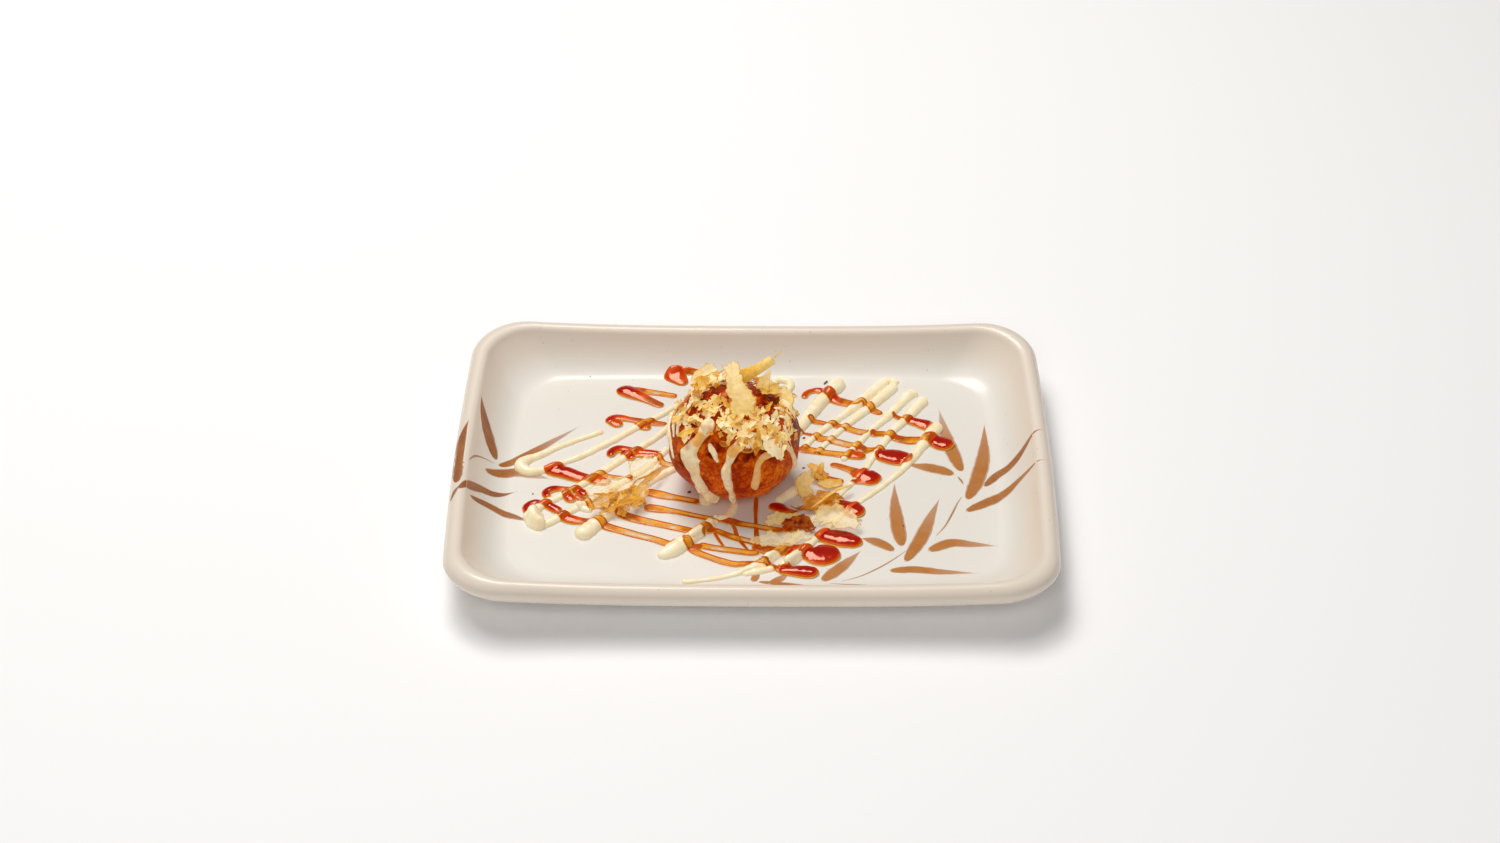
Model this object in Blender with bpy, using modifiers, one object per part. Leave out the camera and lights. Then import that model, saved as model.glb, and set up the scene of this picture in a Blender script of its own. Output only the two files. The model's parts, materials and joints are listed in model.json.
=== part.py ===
"""One takoyaki ball on its rectangular plate, with sauce, mayonnaise and bonito flakes.

Metres, +Z up.  The origin is on the table under the middle of the plate: the plate's foot
stands on Z = 0, its long side runs along X and its front long side faces -Y.
"""
import math

import bmesh
import bpy
from mathutils import Vector, noise

MM = 0.001
GAP = 0.3 * MM                      # clearance between pieces that touch

# Plate
HALF_LENGTH = 102.5 * MM            # at the corners; the short sides bow out past this
HALF_WIDTH = 76.0 * MM
SIDE_BOW = 2.4 * MM                 # how far the middle of a short side stands out
CORNER_RADIUS = 19.5 * MM
CORNER_SHRINK = 0.5                 # corner radius lost for each unit of inset, down the lip
FLOOR_CORNER_RADIUS = 16.0 * MM
LIP_RADIUS = 3.6 * MM               # the rounded edge
LIP_HEIGHT = 14.0 * MM              # centre of the rounded edge above the table
LIP_INNER_ANGLE = math.radians(130) # where the rounded edge runs into the wall, from outside
LIP_UNDER_ANGLE = math.radians(-100)
CORNER_LIFT = 3.2 * MM              # the corners stand higher than the middle of the sides
CORNER_LIFT_POWER = 3.1
FLOOR_HEIGHT = 5.5 * MM
FLOOR_INSET = 20.0 * MM             # run of lip and wall, from the outer edge to the floor
WALL_STEEPNESS = 1.9                # slope of the wall where it leaves the lip
FLOOR_THICKNESS = 3.2 * MM
FOOT_INSET = 24.0 * MM
FOOT_WIDTH = 3.2 * MM
FOOT_DRAFT = 0.6 * MM
CORNER_STEPS, LONG_STEPS, SHORT_STEPS = 7, 6, 6
WALL_STEPS, LIP_STEPS, UNDER_STEPS = 5, 8, 3

# Ball
BALL_CENTRE = Vector((-6.4 * MM, -2.5 * MM, 24.6 * MM))
BALL_RADIUS = 23.4 * MM
BALL_HALF_HEIGHT = 19.1 * MM
BALL_SQUARENESS = 2.12              # 2 is an ellipsoid; more is boxier
BALL_RIPPLE = 0.012
BALL_FLAT = FLOOR_HEIGHT + GAP      # the flat spot that the ball stands on

# Toppings
STRAND_FLATNESS = 0.62              # height of a strand over its width
POOL_FLATNESS = 0.26
HEAP_FOOT = FLOOR_HEIGHT + 3.4 * MM  # the loose flakes lie on the strands
FLAKE_THICKNESS = 0.5 * MM
CAP_STEPS_ROUND, CAP_STEPS_DOWN = 24, 4

# Mayonnaise strands on the plate: x, y and width along each, in mm
STRANDS = {
    "mayonnaise_strand_left_turn": [
        (-54, 25.2, 2.6), (-61, 21.2, 3.0), (-69, 16.4, 3.4), (-75.5, 11.6, 4.4), (-80.5, 8.2, 5.0),
        (-82.3, 5.0, 5.0), (-79.5, 2.0, 5.0), (-74.5, 2.8, 4.4), (-66.5, 7.6, 3.8), (-60, 11.8, 3.8),
        (-54, 16.8, 4.0), (-48.5, 21.6, 4.0), (-42, 27.6, 4.0), (-35, 33.5, 3.6), (-28, 40, 3.4),
        (-20, 48, 3.4), (-14, 54, 3.6)],
    "mayonnaise_strand_corner_turn": [
        (-29, 29.6, 3.4), (-35, 21.6, 3.6), (-41, 15.4, 3.8), (-46.5, 9.4, 4.0), (-53.5, 1.8, 4.0),
        (-60, -5.0, 4.0), (-67, -11.4, 4.2), (-72.6, -15.8, 4.6), (-76.0, -20.4, 5.0),
        (-75.2, -26.0, 5.2), (-71.4, -26.6, 5.0), (-66, -22.0, 4.4), (-58.5, -15.2, 3.8),
        (-50.5, -8.0, 3.8), (-43, -0.8, 3.8), (-38, 4.4, 3.8), (-33.5, 10.4, 3.6), (-30.5, 15.6, 3.2)],
    "mayonnaise_strand_front_left": [
        (-60, -33.6, 5.2), (-54, -26.2, 4.6), (-48, -17.8, 4.0), (-41.5, -9.0, 4.0), (-36, -3.2, 4.0),
        (-29.5, 2.6, 3.8), (-25.5, 6.4, 3.4)],
    "mayonnaise_strand_front": [
        (-30, -43.0, 4.8), (-24, -36.8, 4.4), (-17.5, -30.0, 4.0), (-13.5, -25.6, 3.6)],
    "mayonnaise_strand_thin_front": [
        (-23.6, -56.2, 2.0), (-17, -55.4, 2.0), (-10, -53.8, 2.2), (-4.4, -50.4, 2.4), (-1.6, -47.2, 2.4)],
    "mayonnaise_strand_back": [
        (13.4, 55.4, 4.6), (9.5, 49.5, 4.0), (5, 42, 3.8), (1, 35, 3.6), (-2.5, 28.5, 3.4)],
    "mayonnaise_strand_back_right": [
        (32.4, 55.4, 5.0), (29, 50.0, 4.4), (24.8, 43.2, 4.6), (21, 36.2, 4.4), (17.4, 28.6, 4.0),
        (14.4, 21.6, 3.6)],
    "mayonnaise_strand_pair_left": [
        (49, 55.0, 3.8), (44, 48.6, 3.6), (38.2, 41.6, 3.6), (32.4, 34.8, 3.6), (26.4, 27.8, 3.4),
        (20.8, 20.6, 3.2), (18.0, 15.6, 3.0)],
    "mayonnaise_strand_pair_right": [
        (52.4, 51.2, 3.6), (48.4, 45.6, 3.6), (42.8, 39.2, 3.6), (37, 32.6, 3.6), (31.2, 25.8, 3.4),
        (26, 18.6, 3.2), (22.6, 12.6, 3.0)],
    "mayonnaise_strand_turn_left": [
        (56.8, 46.6, 3.8), (52.8, 40.2, 3.6), (48.2, 33.8, 3.6), (43.4, 27.6, 3.6), (39.4, 21.4, 3.4),
        (35.4, 15.2, 3.2), (31.8, 9.0, 3.0)],
    "mayonnaise_strand_turn_right": [
        (62.2, 45.0, 4.0), (58.6, 38.8, 3.6), (54, 31.8, 3.6), (50, 25.6, 3.6), (46.8, 19.2, 3.6),
        (43.4, 12.6, 3.4), (40.4, 5.6, 3.2), (36.2, -1.6, 3.2), (30.6, -9.6, 3.2), (24.6, -18, 3.2),
        (18.6, -27, 3.2), (12.6, -35.8, 3.4), (6.8, -43.4, 3.6), (2.6, -48.4, 3.8)],
    "mayonnaise_strand_right": [
        (67.2, 29.2, 5.6), (64, 24.4, 4.4), (60, 16.8, 3.6), (55.8, 8.8, 3.4), (50, 0.4, 3.2),
        (43.4, -7.4, 3.2), (37.2, -13.8, 3.2), (31.4, -20.6, 3.2), (25.6, -28.4, 3.4),
        (19.8, -36.6, 3.6), (14.2, -43.6, 3.8), (9.4, -48.6, 4.0)],
}

# Mayonnaise running down the ball: azimuth and angle from the top in degrees, width in mm
DRIPS = {
    "mayonnaise_drip_left": [
        (-127, 50, 5.6), (-127, 59, 7.0), (-129, 70, 11.0), (-127, 82, 11.0),
        (-122, 96, 7.6), (-118, 112, 6.2), (-116, 128, 6.0), (-116, 140, 4.6)],
    "mayonnaise_drip_front": [
        (-76, 54, 4.0), (-85, 60, 3.6), (-92, 68, 3.4), (-96, 78, 3.8), (-96, 89, 3.6),
        (-93, 103, 2.8), (-91, 118, 2.4), (-91, 132, 2.2)],
    "mayonnaise_drip_hook": [
        (-46, 68, 2.6), (-55, 68.5, 2.6), (-63, 70, 3.0), (-68, 76, 3.4), (-70, 85, 3.8), (-70, 95, 4.2),
        (-70, 102, 4.0)],
    "mayonnaise_drip_right": [
        (-36, 66, 2.4), (-32, 76, 2.4), (-27, 88, 2.4), (-24, 99, 2.4), (-22, 109, 2.2)],
}
DRIP_THICKNESS = 1.7 * MM

# Deep sauce at the ends of the rows: x, y and width along each, in mm
POOLS = {
    "sauce_pool_back_left_1": [(-30.6, 56.6, 4.6), (-29.4, 54.6, 6.0), (-27.8, 51.6, 5.0)],
    "sauce_pool_back_left_2": [(-49.6, 50.0, 4.6), (-46.2, 48.8, 6.6), (-42.4, 47.2, 6.4), (-38.8, 46.4, 5.0)],
    "sauce_pool_left_1": [(-52.2, 31.6, 3.8), (-50.6, 31.8, 5.4), (-48.6, 31.6, 4.6)],
    "sauce_pool_left_2": [(-73.4, -3.2, 2.8), (-69.6, -2.4, 3.2), (-65.6, -1.6, 2.6)],
    "sauce_pool_right_1": [(65.4, 18.6, 3.8), (67.6, 19.0, 6.4), (70.0, 18.6, 5.4)],
    "sauce_pool_right_2": [(49.0, 11.6, 5.0), (51.2, 11.8, 5.6), (53.2, 11.8, 3.4)],
    "sauce_pool_right_3": [(41.4, -2.4, 2.6), (43.2, -0.4, 3.8), (45.0, 0.2, 2.6)],
    "sauce_pool_right_4": [(35.6, -21.4, 3.0), (37.4, -20.6, 4.0), (38.8, -21.4, 2.8)],
    "sauce_pool_front_1": [(28.6, -33.6, 3.8), (31.6, -33.8, 5.2), (35.8, -34.4, 4.2)],
    "sauce_pool_front_2": [(20.6, -42.8, 4.8), (24.2, -43.2, 7.8), (28.2, -43.2, 5.6)],
    "sauce_pool_front_3": [(15.4, -50.2, 2.6), (18.8, -50.8, 4.0), (22.4, -51.2, 2.8)],
    "sauce_pool_front_4": [(6.4, -17.2, 3.8), (8.6, -17.6, 5.0), (11.0, -18.6, 4.2)],
}

# Heaps of loose flakes on the plate: centre x and y, half length, half width, height in mm,
# direction in degrees, seed
HEAPS = {
    "bonito_flakes_left": (-48.4, -11.4, 10.4, 7.0, 4.0, 50.0, 3.0),
    "bonito_flakes_right": (28.6, -12.4, 8.4, 5.0, 4.4, 30.0, 8.0),
}

# Large single flakes, in mm above the table: one end, the other end, width, roll in degrees,
# and how far the middle bows up
LARGE_FLAKES = {
    "bonito_flake_pale": ((-6.0, -13.2, 46.6), (-8.3, 6.0, 50.4), 9.4, 0, 1.4),
    "bonito_flake_rolled": ((-1.4, 2.6, 48.2), (8.8, 10.4, 52.6), 5.6, 25, 1.4),
    "bonito_flake_pointed": ((5.0, -0.8, 46.6), (5.8, 1.2, 51.6), 4.4, 0, 0.4),
    "bonito_flake_back_edge": ((-21.5, 8.8, 42.6), (-14.5, 13.2, 46.8), 6.0, -10, 1.0),
    "bonito_flake_golden": ((14.4, -14.6, 9.6), (20.6, -3.0, 13.6), 6.6, -20, 1.2),
    "bonito_flake_ragged": ((22.6, -24.6, 10.6), (37.0, -22.4, 10.8), 8.0, 0, 0.8),
    "bonito_flake_flat": ((-41.0, 1.0, 9.8), (-35.2, 12.4, 10.2), 8.0, 0, 0.8),
}

COLOURS = {
    "plate": ((0.80, 0.77, 0.71), 0.22),
    "crust": ((0.46, 0.13, 0.02), 0.42),
    "mayonnaise": ((0.90, 0.80, 0.50), 0.30),
    "sauce": ((0.30, 0.03, 0.01), 0.12),
    "flakes": ((0.80, 0.58, 0.28), 0.50),
}


def clear_scene():
    for scene_object in list(bpy.data.objects):
        bpy.data.objects.remove(scene_object, do_unlink=True)


def make_material(name):
    colour, roughness = COLOURS[name]
    material = bpy.data.materials.new(name)
    material.use_nodes = True
    shader = material.node_tree.nodes["Principled BSDF"]
    shader.inputs["Base Color"].default_value = (*colour, 1.0)
    shader.inputs["Roughness"].default_value = roughness
    shader.inputs["Metallic"].default_value = 0.0
    return material


def add_piece(name, bm, material):
    """Turn a bmesh into a named object with its own material slot."""
    bmesh.ops.recalc_face_normals(bm, faces=bm.faces)
    mesh = bpy.data.meshes.new(name)
    bm.to_mesh(mesh)
    bm.free()
    mesh.shade_smooth()
    mesh.set_sharp_from_angle(angle=math.radians(50))
    mesh.materials.append(material)
    piece = bpy.data.objects.new(name, mesh)
    COLLECTION.objects.link(piece)
    return piece


def loft(rings):
    """Join equal rings of points side by side and close both ends with one face."""
    bm = bmesh.new()
    rows = [[bm.verts.new(point) for point in ring] for ring in rings]
    count = len(rows[0])
    for low, high in zip(rows, rows[1:]):
        for k in range(count):
            following = (k + 1) % count
            bm.faces.new((low[k], low[following], high[following], high[k]))
    bm.faces.new(rows[0][::-1])
    bm.faces.new(rows[-1])
    return bm


def smooth_route(points, steps):
    """Values along a Catmull-Rom curve through the points, with even steps in each stretch."""
    rows = [Vector(p) for p in points]
    rows = [rows[0] * 2 - rows[1]] + rows + [rows[-1] * 2 - rows[-2]]
    route = []
    for a, b, c, d in zip(rows, rows[1:], rows[2:], rows[3:]):
        for k in range(steps):
            t = k / steps
            route.append(0.5 * (2 * b + (c - a) * t + (2 * a - 5 * b + 4 * c - d) * t ** 2
                                + (3 * b - a - 3 * c + d) * t ** 3))
    route.append(rows[-2])
    return route


# --- plate ---------------------------------------------------------------------------------

def lip_point(angle):
    """Inset and height on the rounded edge; 0 faces outwards and 90 degrees is its crest."""
    return LIP_RADIUS * (1 - math.cos(angle)), LIP_HEIGHT + LIP_RADIUS * math.sin(angle)


def wall_height(inset):
    """Height of the plate's inner face between the lip and the floor."""
    start, top = lip_point(LIP_INNER_ANGLE)
    run = FLOOR_INSET - start
    t = min(max((inset - start) / run, 0.0), 1.0)
    slope = math.tan(LIP_INNER_ANGLE - math.pi / 2) * WALL_STEEPNESS
    return ((2 * t ** 3 - 3 * t ** 2 + 1) * top - (t ** 3 - 2 * t ** 2 + t) * run * slope
            + (3 * t ** 2 - 2 * t ** 3) * FLOOR_HEIGHT)


def plate_profile():
    """Inset, height and share of the corner lift, from the floor over the lip to the foot."""
    lip_start = lip_point(LIP_INNER_ANGLE)[0]
    profile = [(FLOOR_INSET, FLOOR_HEIGHT, 0.0)]
    for k in range(1, WALL_STEPS):
        t = 1 - k / WALL_STEPS
        inset = lip_start + (FLOOR_INSET - lip_start) * t
        profile.append((inset, wall_height(inset), 1 - t))
    for k in range(LIP_STEPS + 1):
        angle = LIP_INNER_ANGLE + (LIP_UNDER_ANGLE - LIP_INNER_ANGLE) * k / LIP_STEPS
        profile.append((*lip_point(angle), 1.0))
    under_start, under_top = lip_point(LIP_UNDER_ANGLE)
    under_floor = FLOOR_HEIGHT - FLOOR_THICKNESS
    for k in range(1, UNDER_STEPS + 1):
        t = k / UNDER_STEPS
        inset = under_start + (FOOT_INSET - under_start) * t
        ease = t * (1.7 - 0.7 * t)
        profile.append((inset, under_top + (under_floor - under_top) * ease, 1 - t))
    profile.append((FOOT_INSET + FOOT_DRAFT, 0.0, 0.0))
    profile.append((FOOT_INSET + FOOT_DRAFT + FOOT_WIDTH, 0.0, 0.0))
    profile.append((FOOT_INSET + 2 * FOOT_DRAFT + FOOT_WIDTH, under_floor, 0.0))
    return profile


def plate_ring(inset, height, lift_share):
    """A rounded rectangle at one inset, with bowed short sides and lifted corners."""
    radius = max(CORNER_RADIUS - CORNER_SHRINK * inset, FLOOR_CORNER_RADIUS)
    middle_x = HALF_LENGTH - inset - radius
    middle_y = HALF_WIDTH - inset - radius
    flat = []
    corners = [(1, 1), (-1, 1), (-1, -1), (1, -1)]
    for turn, (sign_x, sign_y) in enumerate(corners):
        for k in range(CORNER_STEPS):
            angle = math.pi / 2 * (turn + k / CORNER_STEPS)
            flat.append((sign_x * middle_x + radius * math.cos(angle),
                         sign_y * middle_y + radius * math.sin(angle)))
        long_side = turn % 2 == 0
        steps = LONG_STEPS if long_side else SHORT_STEPS
        for k in range(steps):
            along = 1 - 2 * k / steps
            if long_side:
                flat.append((sign_x * middle_x * along, sign_y * (HALF_WIDTH - inset)))
            else:
                flat.append((sign_x * (HALF_LENGTH - inset), sign_y * middle_y * along))
    ring = []
    for x, y in flat:
        share_x = abs(x) / (HALF_LENGTH - inset)
        share_y = abs(y) / (HALF_WIDTH - inset)
        bow = math.copysign(SIDE_BOW * (1 - share_y ** 2) * share_x ** 4, x)
        lift = CORNER_LIFT * lift_share * (share_x * share_y) ** CORNER_LIFT_POWER
        ring.append((x + bow, y, height + lift))
    return ring


def make_plate(material):
    rings = [plate_ring(*station) for station in plate_profile()]
    return add_piece("plate", loft(rings), material)


def plate_surface(y):
    """Height of the plate's inner face near the middle of a long side."""
    return wall_height(HALF_WIDTH - abs(y))


# --- ball ----------------------------------------------------------------------------------

def signed_power(value, power):
    return math.copysign(abs(value) ** power, value)


def ball_point(azimuth, polar, lift=0.0):
    """A point above the ball's crust and the outward direction there, angles in radians."""
    power = 2 / BALL_SQUARENESS
    around = signed_power(math.sin(polar), power)
    ripple = 1 + BALL_RIPPLE * math.sin(3 * azimuth + 1.1) * math.sin(2 * polar + 0.6)
    spot = Vector((BALL_RADIUS * around * math.cos(azimuth) * ripple,
                   BALL_RADIUS * around * math.sin(azimuth) * ripple,
                   BALL_HALF_HEIGHT * signed_power(math.cos(polar), power) * ripple))
    outward = Vector((spot.x / BALL_RADIUS ** 2, spot.y / BALL_RADIUS ** 2,
                      spot.z / BALL_HALF_HEIGHT ** 2)).normalized()
    return BALL_CENTRE + spot + outward * lift, outward


def make_ball(material):
    bm = bmesh.new()
    bmesh.ops.create_uvsphere(bm, u_segments=28, v_segments=18, radius=1.0)
    for vertex in bm.verts:
        azimuth = math.atan2(vertex.co.y, vertex.co.x)
        polar = math.acos(min(max(vertex.co.z, -1.0), 1.0))
        vertex.co = ball_point(azimuth, polar)[0]
        vertex.co.z = max(vertex.co.z, BALL_FLAT)
    return add_piece("takoyaki_ball", bm, material)


# --- mayonnaise and sauce ------------------------------------------------------------------

def end_taper(index, count):
    """Rounds the ends of a strand: full width except at its last two points."""
    return {0: 0.35, 1: 0.80}.get(min(index, count - 1 - index), 1.0)


def make_ribbon_on_plate(name, points, flatness, steps, material):
    """A flattened tube lying on the plate; its height follows the local width."""
    stations = smooth_route([(x * MM, y * MM, width * MM) for x, y, width in points], steps)
    curve = bpy.data.curves.new(name, "CURVE")
    curve.dimensions = "3D"
    curve.bevel_depth = 1.0
    curve.bevel_resolution = 2
    curve.use_fill_caps = True
    curve.twist_mode = "Z_UP"
    spline = curve.splines.new("POLY")
    spline.points.add(len(stations) - 1)
    for k, (x, y, width) in enumerate(stations):
        radius = width / 2 * end_taper(k, len(stations))
        rest = plate_surface(y) + GAP + width / 2 * flatness
        spline.points[k].co = (x, y, rest / flatness, 1.0)
        spline.points[k].radius = radius
    curve.materials.append(material)
    piece = bpy.data.objects.new(name, curve)
    piece.scale = (1.0, 1.0, flatness)
    COLLECTION.objects.link(piece)
    return piece


def make_drip(name, points, material):
    """A flattened strand that runs down the ball, as a loft of elliptical sections."""
    sides = 8
    stations = smooth_route(points, 2)
    centres = []
    for azimuth, polar, width in stations:
        lift = GAP + DRIP_THICKNESS / 2
        centres.append(ball_point(math.radians(azimuth), math.radians(polar), lift))
    rings = []
    for k, (centre, outward) in enumerate(centres):
        ahead = centres[min(k + 1, len(centres) - 1)][0] - centres[max(k - 1, 0)][0]
        across = ahead.cross(outward).normalized()
        taper = end_taper(k, len(centres))
        half_width = stations[k][2] * MM / 2 * taper
        half_height = DRIP_THICKNESS / 2 * taper
        rings.append([centre + across * half_width * math.cos(turn)
                      + outward * half_height * math.sin(turn)
                      for turn in (2 * math.pi * side / sides for side in range(sides))])
    return add_piece(name, loft(rings), material)


# --- bonito flakes -------------------------------------------------------------------------

def uneven(position, seed, size):
    """A repeatable value between about -1 and 1 that changes over the given size."""
    return noise.noise(Vector(position) / size + Vector((seed, 2 * seed, 3 * seed))) * 1.8


def make_flake_cap(name, material):
    """The tangle of shredded flakes over the top of the ball, out to its uneven outline."""
    edge_mean, edge_swing = math.radians(44), math.radians(5)
    thickness_mean, thickness_swing = 2.5 * MM, 1.1 * MM
    pole_step = 0.12

    def ring(share, inside):
        points = []
        for k in range(CAP_STEPS_ROUND):
            azimuth = 2 * math.pi * k / CAP_STEPS_ROUND
            edge = edge_mean + edge_swing * math.sin(2 * azimuth + 0.4) * math.cos(3 * azimuth)
            polar = edge * share
            lift = GAP
            if not inside:
                spot = (math.cos(azimuth) * share, math.sin(azimuth) * share, 0)
                fade = 1 - 0.75 * share ** 3
                lift += thickness_mean * fade + thickness_swing * fade * uneven(spot, 5, 0.45)
            points.append(ball_point(azimuth, polar, lift)[0])
        return points

    shares = [pole_step + (1 - pole_step) * k / CAP_STEPS_DOWN for k in range(CAP_STEPS_DOWN + 1)]
    rings = [ring(share, False) for share in shares]
    rings += [ring(share, True) for share in reversed(shares)]
    return add_piece(name, loft(rings), material)


def make_heap(name, heap, material):
    """A low mound of loose flakes on the plate, out to its uneven outline."""
    x, y, half_length, half_width, height, direction, seed = heap
    turn = math.radians(direction)
    bm = bmesh.new()
    bmesh.ops.create_uvsphere(bm, u_segments=16, v_segments=8, radius=1.0)
    for vertex in bm.verts:
        low = vertex.co.z < 0
        swell = 1 + 0.16 * uneven(vertex.co, seed, 0.7)
        along = vertex.co.x * half_length * MM * swell
        across = vertex.co.y * half_width * MM * swell
        rise = 0.0 if low else vertex.co.z ** 0.8 * height * MM * swell
        drop = 0.2 * MM * vertex.co.z if low else 0.0
        vertex.co = Vector((x * MM + along * math.cos(turn) - across * math.sin(turn),
                            y * MM + along * math.sin(turn) + across * math.cos(turn),
                            HEAP_FOOT + rise + drop))
    return add_piece(name, bm, material)


def make_large_flake(name, flake, material):
    """A thin curved sheet between two ends, thickened with Solidify."""
    start, end, width, roll, bow = flake
    start, end = Vector(start) * MM, Vector(end) * MM
    along = end - start
    level = Vector((-along.y, along.x, 0)).normalized()
    upward = along.cross(level).normalized()
    turn = math.radians(roll)
    across = level * math.cos(turn) + upward * math.sin(turn)
    upward = along.cross(across).normalized()
    bm = bmesh.new()
    bmesh.ops.create_grid(bm, x_segments=6, y_segments=4, size=0.5)
    for vertex in bm.verts:
        u, v = vertex.co.x, vertex.co.y
        pinch = 1 - 0.6 * (2 * u) ** 4
        arch = 1 - (2 * u) ** 2 - 0.5 * (2 * v) ** 2
        vertex.co = (start + along * (u + 0.5) + across * v * width * pinch * MM
                     + upward * arch * bow * MM)
    piece = add_piece(name, bm, material)
    shell = piece.modifiers.new("thickness", "SOLIDIFY")
    shell.thickness = FLAKE_THICKNESS
    shell.offset = 0.0
    return piece


def build():
    materials = {name: make_material(name) for name in COLOURS}
    make_plate(materials["plate"])
    make_ball(materials["crust"])
    for name, points in STRANDS.items():
        make_ribbon_on_plate(name, points, STRAND_FLATNESS, 2, materials["mayonnaise"])
    for name, points in DRIPS.items():
        make_drip(name, points, materials["mayonnaise"])
    for name, points in POOLS.items():
        make_ribbon_on_plate(name, points, POOL_FLATNESS, 2, materials["sauce"])
    make_flake_cap("bonito_flakes_on_ball", materials["flakes"])
    for name, heap in HEAPS.items():
        make_heap(name, heap, materials["flakes"])
    for name, flake in LARGE_FLAKES.items():
        make_large_flake(name, flake, materials["flakes"])


clear_scene()
COLLECTION = bpy.data.collections.new("takoyaki_on_plate")
bpy.context.scene.collection.children.link(COLLECTION)
build()
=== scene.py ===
"""Looks of one takoyaki ball on its rectangular plate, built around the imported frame.

Lengths are in millimetres until a mesh is made; the meshes are in metres, +Z up.
"""
import json
import math
import random
import typing

import bmesh
import bpy
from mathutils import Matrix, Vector, noise
from mathutils.bvhtree import BVHTree

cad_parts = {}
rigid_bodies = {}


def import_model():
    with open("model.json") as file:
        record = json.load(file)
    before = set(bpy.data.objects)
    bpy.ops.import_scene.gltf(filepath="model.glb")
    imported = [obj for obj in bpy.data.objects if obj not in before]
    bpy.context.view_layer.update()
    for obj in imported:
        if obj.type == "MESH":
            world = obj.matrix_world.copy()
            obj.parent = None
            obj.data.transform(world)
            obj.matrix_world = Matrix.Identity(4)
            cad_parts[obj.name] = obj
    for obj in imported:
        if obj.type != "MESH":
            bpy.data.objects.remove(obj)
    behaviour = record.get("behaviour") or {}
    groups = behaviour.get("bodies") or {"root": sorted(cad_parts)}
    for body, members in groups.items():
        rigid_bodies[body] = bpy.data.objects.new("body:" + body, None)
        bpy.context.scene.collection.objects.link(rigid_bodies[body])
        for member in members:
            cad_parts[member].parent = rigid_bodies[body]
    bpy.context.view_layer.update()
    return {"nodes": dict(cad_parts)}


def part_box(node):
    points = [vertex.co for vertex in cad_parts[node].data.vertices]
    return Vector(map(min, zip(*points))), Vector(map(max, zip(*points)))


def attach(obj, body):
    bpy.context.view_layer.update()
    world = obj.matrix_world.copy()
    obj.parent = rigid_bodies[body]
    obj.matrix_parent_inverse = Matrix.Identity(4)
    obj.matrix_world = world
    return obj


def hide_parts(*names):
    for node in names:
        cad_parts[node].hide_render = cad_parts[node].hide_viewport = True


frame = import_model()

MM = 0.001
BODY = "root"


def box_mm(node):
    """A node's lowest and highest corners, in millimetres."""
    low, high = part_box(node)
    return Vector(low) / MM, Vector(high) / MM


# --- sizes -----------------------------------------------------------------------------------

BALL_LOW = box_mm("takoyaki_ball")[0]

# Plate: the same rounded rectangle, lip, wall and foot as the frame's
SIDE_BOW = 2.4                      # how far the middle of a short side stands out
HALF_LENGTH = 102.5
HALF_WIDTH = 76.0
CORNER_RADIUS, CORNER_SHRINK, FLOOR_CORNER_RADIUS = 19.5, 0.5, 16.0
LIP_RADIUS, LIP_HEIGHT = 3.6, 14.0
LIP_INNER_ANGLE, LIP_UNDER_ANGLE = math.radians(130), math.radians(-100)
CORNER_LIFT, CORNER_LIFT_POWER = 3.2, 3.1
FLOOR_HEIGHT, FLOOR_INSET, FLOOR_THICKNESS = 5.5, 20.0, 3.2
WALL_STEEPNESS = 1.9
FOOT_INSET, FOOT_WIDTH, FOOT_DRAFT = 24.0, 3.2, 0.6

# Ball: a slightly boxy ellipsoid with a flat spot under it
BALL_RADIUS = 23.4
BALL_HALF_HEIGHT = 19.1
BALL_SQUARENESS, BALL_RIPPLE = 2.12, 0.012
BALL_CENTRE = Vector((-6.4, -2.5, BALL_LOW.z + 18.8))
BALL_FLAT = BALL_LOW.z


# --- shader maths ----------------------------------------------------------------------------

class Field:
    """A shader socket with arithmetic: an expression on fields adds its Math nodes."""

    def __init__(self, finish, socket):
        self.finish, self.socket = finish, socket

    def math(self, operation, *values):
        sockets = dict(enumerate(values))
        return self.finish.node("ShaderNodeMath", {"operation": operation}, sockets)

    def __add__(self, other):
        return self.math("ADD", self, other)

    def __radd__(self, other):
        return self.math("ADD", other, self)

    def __sub__(self, other):
        return self.math("SUBTRACT", self, other)

    def __rsub__(self, other):
        return self.math("SUBTRACT", other, self)

    def __mul__(self, other):
        return self.math("MULTIPLY", self, other)

    def __rmul__(self, other):
        return self.math("MULTIPLY", other, self)

    def __truediv__(self, other):
        return self.math("DIVIDE", self, other)

    def clamped(self):
        return self.math("MINIMUM", self.math("MAXIMUM", self, 0.0), 1.0)

    def between(self, low, high):
        """0 below low, 1 above high, smooth in between."""
        settings = {"interpolation_type": "SMOOTHSTEP"}
        sockets = {"Value": self, "From Min": low, "From Max": high}
        return self.finish.node("ShaderNodeMapRange", settings, sockets)


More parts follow.
